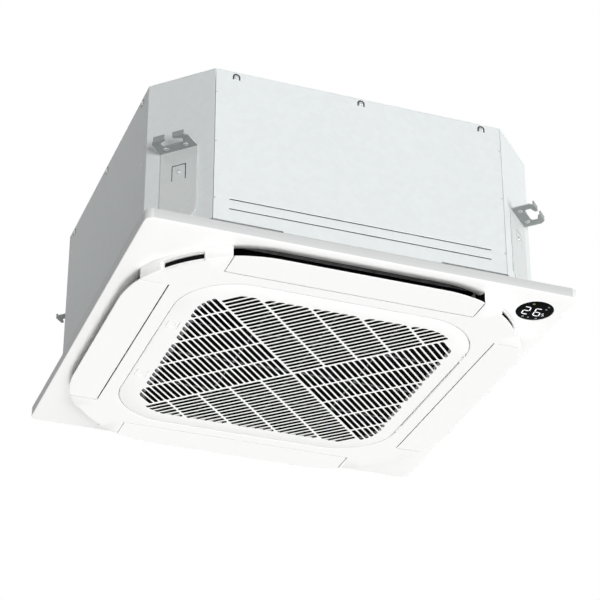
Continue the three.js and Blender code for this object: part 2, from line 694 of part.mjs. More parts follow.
// Folded bracket in the corner between the right and the far side, drawn in a frame whose
// X runs outwards through the corner and whose Y runs along the corner sheet.
const cornerDistance = (2 * bodyHalf - bodyChamfer) / Math.SQRT2;
const bracketTab = { half: 11, slit: 1.6, bottom: 121, top: 146 };
const bracketCorner = [9, 12];
const clawNeck = 4;             // length of the narrow mouth of the rod slot
const clawTaper = 4;
const clawRound = 4;
const clawChamfer = [6, 5];
const buildBracket = () => {
  const wide = bracketWidth / 2;
  const [cutWide, cutHigh] = bracketCorner;
  const legTop = bracketHeight + bracketPlate;
  const legShape = polygon([[-wide, bracketBottom + cutHigh], [-wide + cutWide, bracketBottom],
    [wide - cutWide, bracketBottom], [wide, bracketBottom + cutHigh], [wide, legTop], [-wide, legTop]]);
  const leg = toSolid(new THREE.ExtrudeGeometry(legShape, { depth: bracketPlate, bevelEnabled: false })
    .rotateX(Math.PI / 2).rotateZ(Math.PI / 2));
  const { half: tab, slit, bottom, top } = bracketTab;
  const slits = join(
    box(-1, bracketPlate + 1, -tab, slit - tab, bottom, top),
    box(-1, bracketPlate + 1, tab - slit, tab, bottom, top),
    box(-1, bracketPlate + 1, -tab, tab, top - slit, top),
  );
  const claw = new THREE.Shape();
  const neck = rodSlotWidth / 2;
  const pocket = rodPocketWidth / 2;
  const pocketEnd = bracketReach - clawNeck - clawTaper;
  const roundX = pocketEnd + 1 - rodPocketDepth + clawRound;
  const roundY = pocket - clawRound;
  const [chamferX, chamferY] = clawChamfer;
  claw.moveTo(0, -wide);
  claw.lineTo(bracketReach - chamferX, -wide);
  claw.lineTo(bracketReach, chamferY - wide);
  claw.lineTo(bracketReach, -neck);
  claw.lineTo(bracketReach - clawNeck, -neck);
  claw.lineTo(pocketEnd, -pocket);
  claw.lineTo(roundX, -pocket);
  claw.absarc(roundX, -roundY, clawRound, 1.5 * Math.PI, Math.PI, true);
  claw.absarc(roundX, roundY, clawRound, Math.PI, Math.PI / 2, true);
  claw.lineTo(pocketEnd, pocket);
  claw.lineTo(bracketReach - clawNeck, neck);
  claw.lineTo(bracketReach, neck);
  claw.lineTo(bracketReach, wide - chamferY);
  claw.lineTo(bracketReach - chamferX, wide);
  claw.lineTo(0, wide);
  claw.closePath();
  const plate = extrude(claw, bracketHeight, legTop, 1);
  const lip = join(
    box(bracketReach - bracketPlate, bracketReach, neck, wide - chamferY, bracketHeight, legTop + lipHeight),
    box(bracketReach - bracketPlate, bracketReach, chamferY - wide, -neck, bracketHeight, legTop + lipHeight),
  );
  return spun(shifted(join(cut(leg, slits), plate, lip), cornerDistance + seat, 0, 0), 45);
};

const buildFrameSeal = () => {
  const shape = insetOctagon(2);
  shape.holes.push(insetOctagon(bottomFlange - 1));
  return extrude(shape, ceilingHeight + seat, sheetBottom - sideTongue.drop - seat);
};

// ---------------------------------------------------------------- foam parts
const foamInset = 2 * sheet + 2 * seat;
const buildFoamLiner = (holes) => {
  const shape = insetOctagon(foamInset);
  shape.holes.push(roundedSquare(plenumSize / 2, plenumRadius, 6));
  return cut(extrude(shape, panTop + seat, bodyTop - sheet - seat), ...holes);
};

const sumpInset = 22;           // sump's centre, in from the coil's outer faces
const sumpAt = [coilSize / 2 - sumpInset, coilSize / 2 - sumpInset];
const sumpRadius = 34;
const buildDrainPan = () => {
  const bottom = ductTop + seat;
  const shape = insetOctagon(sheet + beadDepth + 1);
  const block = extrude(shape, bottom, panTop);
  const hole = disc(0, 0, panHole, 0, panTop + 1, 32);
  const outlet = join(
    box(outletInner + 8, outletOuter, -windowEnd + 20, windowEnd - 20, 0, panTop + 1),
    box(outletInner + 8, outletOuter - 14, -windowEnd, windowEnd, 0, panTop + 1),
  );
  const coilHalf = coilSize / 2;
  const trough = roundedSquare(coilHalf + 2, coilRadius + 2, 5);
  trough.holes.push(roundedSquare(coilHalf - coilThickness - 4, coilRadius - coilThickness, 5));
  const gutter = extrude(trough, coilBottom - 6, panTop + 1);
  const sump = disc(...sumpAt, sumpRadius, coilBottom - 14, panTop + 1, 20);
  const pads = onAllSides(box(coilHalf - coilThickness - 5, coilHalf + 3, -12, 12,
    coilBottom - 7, coilBottom - seat));
  const boltHoles = onAllSides(disc(boltTab.at, boltTab.at, boltTab.hole, 0, boltEnd + 1, 12));
  return join(cut(block, hole, onAllSides(outlet), gutter, sump), pads).subtract(boltHoles);
};

// ---------------------------------------------------------------- fan
const ellipse = (centre, radii, a0, a1, steps) => Array.from({ length: steps + 1 }, (_, i) => {
  const angle = a0 + (a1 - a0) * i / steps;
  return [centre[0] + radii[0] * Math.cos(angle), centre[1] + radii[1] * Math.sin(angle)];
});

const bellmouthWall = 2;
const bellmouthFlange = panHole + 22;
const bellmouthBase = 47.6;
const buildBellmouth = () => {
  const mouth = panHole - 4;
  const rise = throatTop - bellmouthBase - bellmouthWall - 6;
  const centre = [mouth, throatTop - 6];
  const inner = ellipse(centre, [mouth - throatRadius, rise + bellmouthWall], -Math.PI / 2, -Math.PI, 4);
  const outer = ellipse(centre, [mouth - throatRadius - bellmouthWall, rise], -Math.PI, -Math.PI / 2, 4);
  return lathe([
    [bellmouthFlange, bellmouthBase], ...inner, [throatRadius, throatTop],
    [throatRadius + bellmouthWall, throatTop], ...outer,
    [bellmouthFlange, bellmouthBase + bellmouthWall + 0.6],
  ], 24);
};

const hubProfile = (lift) => [
  [16, hubRim - hubDepth + lift], [fanRadius * 0.293, hubRim - hubDepth + 3 + lift],
  [fanRadius * 0.44, hubRim - hubDepth + 12 + lift], [fanRadius * 0.52, hubRim - hubDepth + 34 + lift],
  [fanRadius * 0.573, hubRim - 8 + lift], [hubShoulder, hubRim - 2 + lift], [fanRadius, hubRim + lift]];

const shroudProfile = (lift) => ellipse([fanRadius, fanBottom + lift],
  [fanRadius - eyeRadius, shroudRim - fanBottom], Math.PI, Math.PI / 2, 4);

const shroudTopAt = (radius) => {
  const along = Math.min(Math.max((fanRadius - radius) / (fanRadius - eyeRadius), 0), 1);
  return fanBottom + (shroudRim - fanBottom) * Math.sqrt(1 - along * along);
};

// One backward-curved blade: a wall along a swept camber line, from the shroud up to the hub.
const shroudWall = 2.4;
const hubWall = 2.5;
const bladeSteps = 5;
const buildBlade = () => {
  const position = [];
  for (let i = 0; i <= bladeSteps; i += 1) {
    const f = i / bladeSteps;
    const radius = bladeInner + (fanRadius - 1.5 - bladeInner) * f;
    const sweep = -0.75 * f - 0.12 * Math.sin(f * Math.PI);
    const wall = bladeWall * (0.35 + 0.65 * Math.sin(Math.PI * Math.min(0.9, f + 0.12)));
    const low = radius < eyeRadius + 3 ? throatTop + 8 - 4 * f : shroudTopAt(radius) + shroudWall / 2;
    const along = Math.min(1, (radius - hubShoulder) / (fanRadius - hubShoulder));
    const high = hubRim - 2 * (1 - along) + hubWall / 2;
    const x = radius * Math.cos(sweep);
    const y = radius * Math.sin(sweep);
    for (const [side, z] of [[-1, low], [1, low], [1, high], [-1, high]]) {
      position.push(x + side * wall * 0.3, y + side * wall * 0.4, z);
    }
  }
  const index = [];
  for (let i = 0; i < bladeSteps; i += 1) {
    for (let j = 0; j < 4; j += 1) {
      const a = 4 * i + j;
      const b = 4 * i + (j + 1) % 4;
      index.push(a, b, b + 4, a, b + 4, a + 4);
    }
  }
  const last = 4 * bladeSteps;
  index.push(0, 2, 1, 0, 3, 2, last, last + 1, last + 2, last, last + 2, last + 3);
  return solidFrom(position, index);
};

const buildFanWheel = () => {
  const hub = lathe([...hubProfile(0), ...hubProfile(hubWall).reverse()], 22);
  const boss = lathe([[shaftRadius + seat, hubRim - hubDepth - 6], [16.5, hubRim - hubDepth - 6],
    [18, hubRim - hubDepth + hubWall], [shaftRadius + seat, hubRim - hubDepth + hubWall + 2]], 14);
  const shroud = lathe([...shroudProfile(0), ...shroudProfile(shroudWall).reverse()], 22);
  const blade = buildBlade();
  const blades = Array.from({ length: bladeCount }, (_, i) => spun(blade, 360 * i / bladeCount));
  return join(hub, boss, shroud, ...blades);
};

const nutTop = hubRim - hubDepth - 6 - seat;
const buildMotorShaft = () => lathe([[0, nutTop - 9], [shaftRadius, nutTop - 9],
  [shaftRadius, motorBottom + 16], [0, motorBottom + 16]], 16);

const buildFanNut = () => {
  const hex = toSolid(new THREE.CylinderGeometry(8.4, 8.4, 7, 6).rotateX(Math.PI / 2)
    .translate(0, 0, nutTop - 3.5));
  return cut(hex, disc(0, 0, shaftRadius + seat, nutTop - 10, nutTop + 10, 16));
};

const dishUnder = bodyTop - sheet - dishDepth;
const earDrop = 13;             // underside of the motor's ears, below its top
const earPlate = 3;
const earRadius = 11;
const bushWaist = 6;
const bushRadius = 10;
const bushHead = 12;
const buildFanMotor = () => {
  const bore = shaftRadius + seat;
  const can = lathe([[bore, motorBottom - 4], [14, motorBottom - 4], [14, motorBottom],
    [motorRadius - 6, motorBottom], [motorRadius, motorBottom + 6], [motorRadius, motorTop - 10],
    [motorRadius - 6, motorTop - 3], [0, motorTop - 3], [0, motorBottom + 17], [bore, motorBottom + 17]], 20);
  const earBottom = motorTop - earDrop;
  const ear = box(motorRadius - 12, mountRadius, -earRadius, earRadius, earBottom, earBottom + earPlate)
    .add(disc(mountRadius, 0, earRadius, earBottom, earBottom + earPlate, 12));
  const ears = [0, 1, 2].map((i) => spun(ear, 120 * i + 60));
  const hole = disc(mountRadius, 0, bushWaist + seat, 0, bodyTop, 12);
  const holes = [0, 1, 2].map((i) => spun(hole, 120 * i + 60));
  return cut(join(can, ...ears), ...holes);
};

// Rubber bush waisted round the motor's ear, hanging from the dish of the top panel.
const buildMotorMount = (i) => {
  const low = motorTop - earDrop - seat;
  const high = low + earPlate + 2 * seat;
  const top = dishUnder - seat;
  const bush = lathe([[0, low - 5], [bushRadius, low - 5], [bushRadius, low],
    [bushWaist, low], [bushWaist, high], [bushRadius, high], [bushHead, top - 4], [bushHead, top], [0, top]], 10);
  return spun(shifted(bush, mountRadius, 0, 0), 120 * i + 60);
};

// ---------------------------------------------------------------- coil
const coilMid = coilSize / 2 - coilThickness / 2;
const buildCoil = () => {
  const outer = coilSize / 2;
  const shape = roundedSquare(outer, coilRadius, 6);
  shape.holes.push(roundedSquare(outer - coilThickness, coilRadius - coilThickness, 6));
  const ring = extrude(shape, coilBottom, coilTop);
  const open = box(coilArm, outer + 1, coilArm, outer + 1, 0, bodyTop);
  return cut(ring, open);
};

const returnBends = 5;
const tubeRadius = 3.5;
// Coil's end sheet with its hairpin bends, drawn at the end of the right-hand run.
const buildEndPlate = () => {
  const outer = coilSize / 2;
  const y = coilArm + seat;
  const plate = box(outer - coilThickness - 1, outer + 1, y, y + 1.2, coilBottom, coilTop);
  const pitch = (coilTop - coilBottom - 30) / (returnBends - 1);
  const bends = Array.from({ length: returnBends }, (_, i) => {
    const centre = new THREE.Vector3(coilMid, y + 1, coilBottom + 15 + i * pitch);
    const arc = new THREE.CatmullRomCurve3(Array.from({ length: 7 }, (_unused, k) => {
      const angle = Math.PI * k / 6;
      return new THREE.Vector3(centre.x + 8 * Math.cos(angle), centre.y + 9 * Math.sin(angle), centre.z);
    }));
    const ring = new THREE.Shape();
    ring.absarc(0, 0, tubeRadius, 0, 2 * Math.PI);
    return toSolid(new THREE.ExtrudeGeometry(ring, { steps: 4, extrudePath: arc, curveSegments: 3 }));
  });
  return join(plate, ...bends);
};

// ---------------------------------------------------------------- pipes
const pipeEnd = half - 1;
const tubeAlong = (points, radius, sides, steps) => {
  const ring = new THREE.Shape();
  ring.absarc(0, 0, radius, 0, 2 * Math.PI);
  const spots = points.map((point) => new THREE.Vector3(...point));
  const path = new THREE.CatmullRomCurve3(spots, false, 'catmullrom', 0.35);
  return toSolid(new THREE.ExtrudeGeometry(ring, { steps, extrudePath: path, curveSegments: sides / 2 }));
};

// Pipes leave through the right side, placed from its far end and from the chassis top.
const gasPipe = { radius: 6.35, y: bodyHalf - 137.5, z: bodyTop - 77.2, start: coilTop - 79 };
const liquidPipe = { radius: 3.2, y: bodyHalf - 109.5, z: bodyTop - 101.2, start: coilBottom + 37 };
const drainPipe = { radius: 9, y: bodyHalf - 104.5, z: bodyTop - 55.2 };
const coilEndY = coilArm + seat + 1.2;
const buildPipe = ({ radius, y, z, start }) => tubeAlong([
  [coilMid, coilEndY + seat, start], [coilMid, coilEndY + 12, start],
  [coilMid + 14, (coilEndY + y) / 2 + 4, (start + z) / 2], [coilMid + 26, y - 8, z - 2],
  [coilMid + 42, y, z], [bodyHalf - 20, y, z], [pipeEnd, y, z]], radius, 8, 12);

const buildFlareNut = ({ radius, y, z }) => {
  const size = radius * 1.9 + 2;
  const hex = toSolid(new THREE.CylinderGeometry(size, size, 13, 6).rotateZ(Math.PI / 2)
    .translate(pipeEnd - 8, y, z));
  const collar = barX(pipeEnd - 19, pipeEnd - 14, y, z, radius + 2.2, 12);
  return cut(join(hex, collar), barX(bodyHalf - 20, half + 5, y, z, radius + seat, 12));
};

const pipePlate = {
  y0: gasPipe.y - 16, y1: drainPipe.y + 14, z0: liquidPipe.z - 18, z1: drainPipe.z + 20, wall: 1.2,
};
const pipeBores = (clearance) => [gasPipe, liquidPipe, drainPipe].map(({ radius, y, z }) =>
  barX(coilMid + 45, half + 5, y, z, radius + clearance, 12));
const buildPipePlate = () => {
  const { y0, y1, z0, z1, wall } = pipePlate;
  const x = bodyHalf + seat;
  return cut(box(x, x + wall, y0, y1, z0, z1), ...pipeBores(seat));
};

// ---------------------------------------------------------------- drain pump and float switch
const pumpAt = [sumpAt[0] - 8, sumpAt[1] - 8];
const sumpFloor = coilBottom - 14;
const pumpHeight = 84;
const buildDrainPump = () => {
  const intake = 9;
  const casing = 20;
  const cap = 16;
  const body = lathe([[0, 4], [intake, 4], [intake, 22], [casing, 26], [casing, 62], [cap, 66],
    [cap, pumpHeight], [0, pumpHeight]], 20);
  const feet = [0, 1, 2].map((i) => spun(box(-1.2, 1.2, intake - 2, casing - 5, seat, 24), 120 * i));
  return shifted(join(body, ...feet), ...pumpAt, sumpFloor);
};

const pumpTop = sumpFloor + pumpHeight;
const buildDrainPipe = () => {
  const { radius, y, z } = drainPipe;
  const [x, start] = pumpAt;
  return tubeAlong([[x, start, pumpTop + 2 * seat], [x, start, z - 34], [x + 5, start + 1, z - 10],
    [x + 22, y, z], [coilMid + 60, y, z], [pipeEnd, y, z]], radius, 10, 12);
};

const floatAt = [sumpAt[0] + 19, sumpAt[1] - 16];
const floatStroke = 8;
const floatLength = 16;
const stemBase = 2.5;
const buildFloatStem = () => {
  const head = stemBase + floatLength + floatStroke + 2 * seat;
  return shifted(lathe([[0, seat], [6, seat], [6, stemBase], [2.4, stemBase], [2.4, head], [7, head],
    [7, head + 6], [4, head + 10], [0, head + 10]], 12), ...floatAt, sumpFloor);
};
const buildFloat = () => shifted(lathe([[2.7, 0], [7.5, 0], [8.5, 2], [8.5, floatLength - 2],
  [7.5, floatLength], [2.7, floatLength]], 12), ...floatAt, sumpFloor + stemBase + seat);

// ---------------------------------------------------------------- control box
const boxSize = {
  x0: 78 - openingHalf, x1: openingHalf - 98, y0: openingHalf - 41, y1: openingHalf - 5,
  z0: 20, z1: ductTop - seat, wall: 1,
};
const boardThickness = 1.6;
const postHeight = 8;
const postSize = 4;
const terminalLength = 50;
const terminalInset = 8;
const board = {
  x0: boxSize.x0 + 6, x1: boxSize.x1 - terminalLength - terminalInset - 12,
  y0: boxSize.y0 + 4, y1: boxSize.y1 - 4,
};
const buildControlBox = () => {
  const { x0, x1, y0, y1, z0, z1, wall } = boxSize;
  const tray = cut(box(x0, x1, y0, y1, z0, z1),
    box(x0 + wall, x1 - wall, y0 + wall, y1 - wall, z0 - 1, z1 - wall));
  const middle = (y0 + y1) / 2;
  const posts = [0.1, 0.5, 0.9].map((part) => {
    const x = board.x0 + part * (board.x1 - board.x0);
    return box(x - postSize / 2, x + postSize / 2, middle - postSize / 2, middle + postSize / 2,
      z1 - wall - postHeight, z1 - wall / 2);
  });
  return join(tray, ...posts);
};

const coverFold = { lap: 1.5, lip: 8 };
const buildControlCover = () => {
  const { x0, x1, y0, y1, z0, wall } = boxSize;
  const { lap, lip } = coverFold;
  const under = box(x0 - lap, x1 + lap, y0 - lap, y1 + lap, z0 - seat - wall, z0 - seat);
  const fold = box(x0 - lap, x1 + lap, y0 - lap, y0 - lap + wall, z0 - seat - wall, z0 + lip);
  return join(under, fold);
};

const boardTop = boxSize.z1 - boxSize.wall - postHeight - seat;
const boardBottom = boardTop - boardThickness;
// Each part on the board: its length, its height, and its place across the board.
const boardParts = [[18, 12, 6], [12, 14, 4], [10, 8, 10], [16, 15, 4], [12, 10, 8], [20, 6, 5], [10, 13, 8]];
const partWidth = 12;
const buildControlBoard = () => {
  const plate = box(board.x0, board.x1, board.y0, board.y1, boardBottom, boardTop);
  const pitch = (board.x1 - board.x0) / boardParts.length;
  const parts = boardParts.map(([long, deep, across], i) => {
    const x = board.x0 + (i + 0.5) * pitch;
    return box(x - long / 2, x + long / 2, board.y0 + across, board.y0 + across + partWidth,
      boardBottom - deep, boardBottom + boardThickness / 2);
  });
  return join(plate, ...parts);
};

const terminalBase = 6;
const terminalHeight = 14;
const terminalWalls = 5;
const buildTerminalBlock = () => {
  const top = boxSize.z1 - boxSize.wall - seat;
  const x1 = boxSize.x1 - terminalInset;
  const x0 = x1 - terminalLength;
  const y0 = boxSize.y0 + 7;
  const y1 = boxSize.y1 - 7;
  const pitch = (terminalLength - 2) / (terminalWalls - 1);
  const walls = Array.from({ length: terminalWalls }, (_, i) =>
    box(x0 + i * pitch, x0 + i * pitch + 2, y0, y1, top - terminalHeight, top - terminalBase / 2));
  return join(box(x0, x1, y0, y1, top - terminalBase, top), ...walls);
};

const boltHead = { radius: 6.5, height: 4 };
const buildPanelBolt = () => {
  const { radius, height } = boltHead;
  const seatZ = boltTab.bottom - seat;
  const head = toSolid(new THREE.CylinderGeometry(radius, radius, height, 6).rotateX(Math.PI / 2)
    .translate(boltTab.at, boltTab.at, seatZ - height / 2));
  return head.add(disc(boltTab.at, boltTab.at, boltTab.hole - 0.4, seatZ - 1, boltEnd, 12));
};

// ---------------------------------------------------------------- assembly
const sides = ['right', 'far', 'left', 'near'];

place('panel_frame', buildPanelFrame(), finishes.whitePlastic);
place('display_lens', buildDisplayLens(), finishes.blackPlastic);
place('display_housing', buildDisplayHousing(), finishes.greyPlastic);
place('return_grille', buildGrille(), finishes.whitePlastic);
catchCentres.forEach((centre, i) => {
  place(`grille_catch_${i + 1}`, buildCatch(centre), finishes.whitePlastic);
});
place('filter_frame', buildFilterFrame(), finishes.greyPlastic);
place('filter_mesh', buildFilterMesh(), finishes.filterNet);
sides.forEach((side, i) => {
  place(`flap_${side}`, buildFlap(), finishes.whitePlastic, i);
  place(`flap_motor_${side}`, buildFlapMotor(), finishes.greyPlastic, i);
});

place('top_panel', buildTopPanel(), finishes.steel);
place('side_panel_near', buildLongSidePanel(), finishes.steel, 3);
place('side_panel_far', buildLongSidePanel(), finishes.steel, 1);
place('side_panel_left', sidePanel(shortPanelLength), finishes.steel, 2);
place('side_panel_right', cut(sidePanel(shortPanelLength), ...pipeBores(2)), finishes.steel);
const cornerNames = ['far_right', 'far_left', 'near_left', 'near_right'];
cornerNames.forEach((name, i) => {
  const panel = buildCornerPanel();
  const placed = i % 2 ? mirroredY(panel) : panel;
  place(`corner_panel_${name}`, placed, finishes.steel, i % 2 ? i + 1 : i);
  place(`hanger_bracket_${name}`, buildBracket(), finishes.steel, i);
  place(`panel_bolt_${name}`, buildPanelBolt(), finishes.steel, i);
});
place('frame_seal', buildFrameSeal(), finishes.blackFoam);
place('foam_liner', buildFoamLiner(pipeBores(0.9)), finishes.whiteFoam);
place('drain_pan', buildDrainPan(), finishes.whiteFoam);

place('bellmouth', buildBellmouth(), finishes.greyPlastic);
place('fan_wheel', buildFanWheel(), finishes.greyPlastic);
place('motor_shaft', buildMotorShaft(), finishes.motorSteel);
place('fan_nut', buildFanNut(), finishes.brass);
place('fan_motor', buildFanMotor(), finishes.motorSteel);
for (let i = 0; i < 3; i += 1) place(`motor_mount_${i + 1}`, buildMotorMount(i), finishes.rubber);

place('evaporator_coil', buildCoil(), finishes.aluminium);
place('coil_end_plate_right', buildEndPlate(), finishes.steel);
place('coil_end_plate_far', mirroredY(buildEndPlate()), finishes.steel, 1);
place('gas_pipe', buildPipe(gasPipe), finishes.copper);
place('liquid_pipe', buildPipe(liquidPipe), finishes.copper);
place('gas_flare_nut', buildFlareNut(gasPipe), finishes.brass);
place('liquid_flare_nut', buildFlareNut(liquidPipe), finishes.brass);
place('pipe_cover_plate', buildPipePlate(), finishes.steel);
place('drain_pump', buildDrainPump(), finishes.greyPlastic);
place('drain_pipe', buildDrainPipe(), finishes.whitePlastic);
place('float_switch', buildFloatStem(), finishes.whitePlastic);
place('float', buildFloat(), finishes.whitePlastic);
place('control_box', buildControlBox(), finishes.steel);
place('control_box_cover', buildControlCover(), finishes.steel);
place('control_board', buildControlBoard(), finishes.board);
place('terminal_block', buildTerminalBlock(), finishes.blackPlastic);

export default unit;
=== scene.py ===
import json
import math

import bmesh
import bpy
from mathutils import Matrix, Vector


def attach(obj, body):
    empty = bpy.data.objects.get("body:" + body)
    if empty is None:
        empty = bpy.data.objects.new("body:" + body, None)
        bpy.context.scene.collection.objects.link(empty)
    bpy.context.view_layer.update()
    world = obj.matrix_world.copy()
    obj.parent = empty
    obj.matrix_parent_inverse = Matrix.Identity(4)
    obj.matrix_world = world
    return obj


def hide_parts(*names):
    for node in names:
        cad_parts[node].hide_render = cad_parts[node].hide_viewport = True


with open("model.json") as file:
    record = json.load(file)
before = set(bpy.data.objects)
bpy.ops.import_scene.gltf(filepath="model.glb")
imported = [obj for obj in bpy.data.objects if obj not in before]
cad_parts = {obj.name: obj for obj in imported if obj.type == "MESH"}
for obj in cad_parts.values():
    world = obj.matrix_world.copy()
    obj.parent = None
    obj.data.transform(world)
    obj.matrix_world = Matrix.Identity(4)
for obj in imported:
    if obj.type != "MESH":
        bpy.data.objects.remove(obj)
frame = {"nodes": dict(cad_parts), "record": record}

mm = 0.001
scene = bpy.context.scene
nodes = frame["nodes"]
slotOfNode = {entry["node"]: entry["material_slot"] for entry in frame["record"]["subparts"]}
bodyOfNode = {node: body for body, members in frame["record"]["behaviour"]["bodies"].items() for node in members}
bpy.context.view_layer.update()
dressed = set()
print("frame loaded:", len(nodes), "nodes")


# shader wiring: a wrapped socket, so that masks and heights read as plain sums
class Wire:
    def __init__(self, graph, socket):
        self.graph = graph
        self.socket = socket

    def maths(self, operation, *values):
        return self.graph.add("ShaderNodeMath", {"operation": operation}, dict(enumerate(values)))

    def __add__(self, other):
        return self.maths("ADD", self, other)

    def __radd__(self, other):
        return self.maths("ADD", other, self)

    def __sub__(self, other):
        return self.maths("SUBTRACT", self, other)

    def __rsub__(self, other):
        return self.maths("SUBTRACT", other, self)

    def __mul__(self, other):
        return self.maths("MULTIPLY", self, other)

    def __rmul__(self, other):
        return self.maths("MULTIPLY", other, self)

    def __truediv__(self, other):
        return self.maths("DIVIDE", self, other)

    def __rtruediv__(self, other):
        return self.maths("DIVIDE", other, self)

    def __pow__(self, other):
        return self.maths("POWER", self, other)

    def __gt__(self, other):
        return self.maths("GREATER_THAN", self, other)

    def __lt__(self, other):
        return self.maths("LESS_THAN", self, other)


class Graph:
    def __init__(self, name):
        self.material = bpy.data.materials.new(name)
        self.material.use_nodes = True
        self.tree = self.material.node_tree
        self.tree.nodes.clear()

    def add(self, nodeType, settings=None, sockets=None, output=0):
        node = self.tree.nodes.new(nodeType)
        for key, value in (settings or {}).items():
            if key == "stops":
                ramp = node.color_ramp.elements
                for i, (position, colour) in enumerate(value):
                    stop = ramp[i] if i < 2 else ramp.new(position)
                    stop.position = position
                    stop.color = colour
            else:
                setattr(node, key, value)
        for key, value in (sockets or {}).items():
            if isinstance(value, Wire):
                self.tree.links.new(value.socket, node.inputs[key])
            else:
                node.inputs[key].default_value = value
        return Wire(self, node.outputs[output]) if len(node.outputs) else None

    def places(self, stretch=(1, 1, 1), turn=(0, 0, 0)):
        spot = self.add("ShaderNodeTexCoord", output="Object")
        return self.add("ShaderNodeMapping", {}, {"Vector": spot, "Rotation": turn, "Scale": stretch})

    def noise(self, where, scale, detail=3.0, rough=0.5):
        return self.add("ShaderNodeTexNoise", {}, {"Vector": where, "Scale": scale, "Detail": detail,
                                                   "Roughness": rough}, "Fac")

    def cells(self, where, scale, feature="F1", output="Distance"):
        return self.add("ShaderNodeTexVoronoi", {"feature": feature}, {"Vector": where, "Scale": scale}, output)

    def blend(self, factor, first, second):
        return self.add("ShaderNodeMix", {"data_type": "RGBA"}, {0: factor, 6: first, 7: second}, 2)

    def bump(self, height, strength, distance):
        return self.add("ShaderNodeBump", {}, {"Height": height, "Strength": strength, "Distance": distance})

    def close(self, **sockets):
        named = {key.replace("_", " "): value for key, value in sockets.items()}
        shader = self.add("ShaderNodeBsdfPrincipled", {}, named)
        self.add("ShaderNodeOutputMaterial", {}, {"Surface": shader})
        return self.material


def srgb(red, green, blue):
    def linear(value):
        value = value / 255
        return value / 12.92 if value <= 0.04045 else ((value + 0.055) / 1.055) ** 2.4
    return (linear(red), linear(green), linear(blue), 1.0)


def tone(colour, factor):
    return (colour[0] * factor, colour[1] * factor, colour[2] * factor, 1.0)


# moulded plastic: faint flow clouds, a fine spark-eroded grain, and a slightly uneven gloss
def mouldedPlastic(name, colour, rough=0.42, grain=0.12, clouds=0.985, shine=0.5):
    g = Graph(name)
    where = g.places()
    cloud = g.noise(where, 9, 2)
    fine = g.noise(where, 1600, 2, 0.6)
    skin = g.noise(where, 90, 3)
    height = fine * 0.7 + skin * 0.3
    return g.close(Base_Color=g.blend(cloud, tone(colour, clouds), colour),
                   Roughness=(skin - 0.5) * 0.1 + (fine - 0.5) * 0.06 + rough,
                   Normal=g.bump(height, grain, 0.0001), Specular_IOR_Level=shine)


# galvanised sheet: small crystal patches, rolling streaks, and light handling marks
def zincSheet(name, colour, rough=0.42, metal=0.25, turn=(0, 0, 0)):
    g = Graph(name)
    where = g.places()
    patch = g.cells(where, 120, output="Color")
    shade = g.add("ShaderNodeSeparateColor", {}, {"Color": patch})
    streak = g.noise(g.places((3, 3, 160), turn), 6, 4)
    cloud = g.noise(where, 5, 3)
    mark = g.noise(g.places((40, 40, 6), turn), 3, 5, 0.7)
    mixed = g.blend(shade * 0.35 + streak * 0.35 + cloud * 0.3, tone(colour, 0.95), tone(colour, 1.03))
    return g.close(Base_Color=mixed, Metallic=metal, Roughness=(shade - 0.5) * 0.07 + (mark - 0.5) * 0.16 + rough,
                   Normal=g.bump(streak * 0.5 + cloud * 0.5, 0.05, 0.0004))


def beadFoam(name, colour):
    g = Graph(name)
    where = g.places()
    bead = g.cells(where, 260)
    edge = g.cells(where, 260, "DISTANCE_TO_EDGE")
    cloud = g.noise(where, 14, 2)
    return g.close(Base_Color=g.blend(edge * 9 + cloud * 0.2, tone(colour, 0.86), colour),
                   Roughness=0.82 + cloud * 0.1, Normal=g.bump(1 - bead, 0.35, 0.0006))


def softFoam(name, colour):
    g = Graph(name)
    where = g.places()
    pore = g.cells(where, 900)
    cloud = g.noise(where, 30, 3)
    return g.close(Base_Color=g.blend(cloud, tone(colour, 0.8), tone(colour, 1.5)),
                   Roughness=0.9 + cloud * 0.08, Specular_IOR_Level=0.1, Normal=g.bump(pore, 0.5, 0.0005))


def barMetal(name, colour, rough=0.3, metal=0.9):
    g = Graph(name)
    where = g.places()
    haze = g.noise(where, 60, 4, 0.6)
    line = g.noise(g.places((1, 1, 30)), 260, 2)
    return g.close(Base_Color=g.blend(haze, tone(colour, 0.82), tone(colour, 1.08)), Metallic=metal,
                   Roughness=rough + (haze - 0.5) * 0.18 + (line - 0.5) * 0.06,
                   Normal=g.bump(line, 0.06, 0.0002))


def glossBlack(name, colour):
    g = Graph(name)
    where = g.places()
    dust = g.noise(where, 700, 2)
    wave = g.noise(where, 30, 1)
    return g.close(Base_Color=g.blend(wave, tone(colour, 0.8), tone(colour, 1.3)),
                   Roughness=0.14 + dust * 0.08, Specular_IOR_Level=0.01, Normal=g.bump(wave, 0.02, 0.0002))


def litMark(name, colour, strength):
    g = Graph(name)
    glow = g.noise(g.places(), 300, 1)
    shade = g.blend(glow, tone(colour, 0.9), colour)
    return g.close(Base_Color=shade, Emission_Color=shade, Emission_Strength=strength, Specular_IOR_Level=0.1,
                   Roughness=0.4)


# woven net: square threads with open meshes between them
def wovenNet(name, colour):
    g = Graph(name)
    spot = g.add("ShaderNodeSeparateXYZ", {}, {"Vector": g.places((900, 900, 900))})
    node = spot.socket.node
    along = Wire(g, node.outputs[0])
    across = Wire(g, node.outputs[1])
    threadX = along.maths("PINGPONG", along, 0.5)
    threadY = across.maths("PINGPONG", across, 0.5)
    thread = threadX.maths("MAXIMUM", threadX < 0.42, threadY < 0.42)
    weave = threadX.maths("MINIMUM", threadX, threadY)
    haze = g.noise(g.places(), 40, 2)
    return g.close(Base_Color=g.blend(haze, tone(colour, 0.8), tone(colour, 1.2)), Alpha=thread,
                   Roughness=0.7 + haze * 0.1, Specular_IOR_Level=0.05, Normal=g.bump(weave, 0.4, 0.0003))


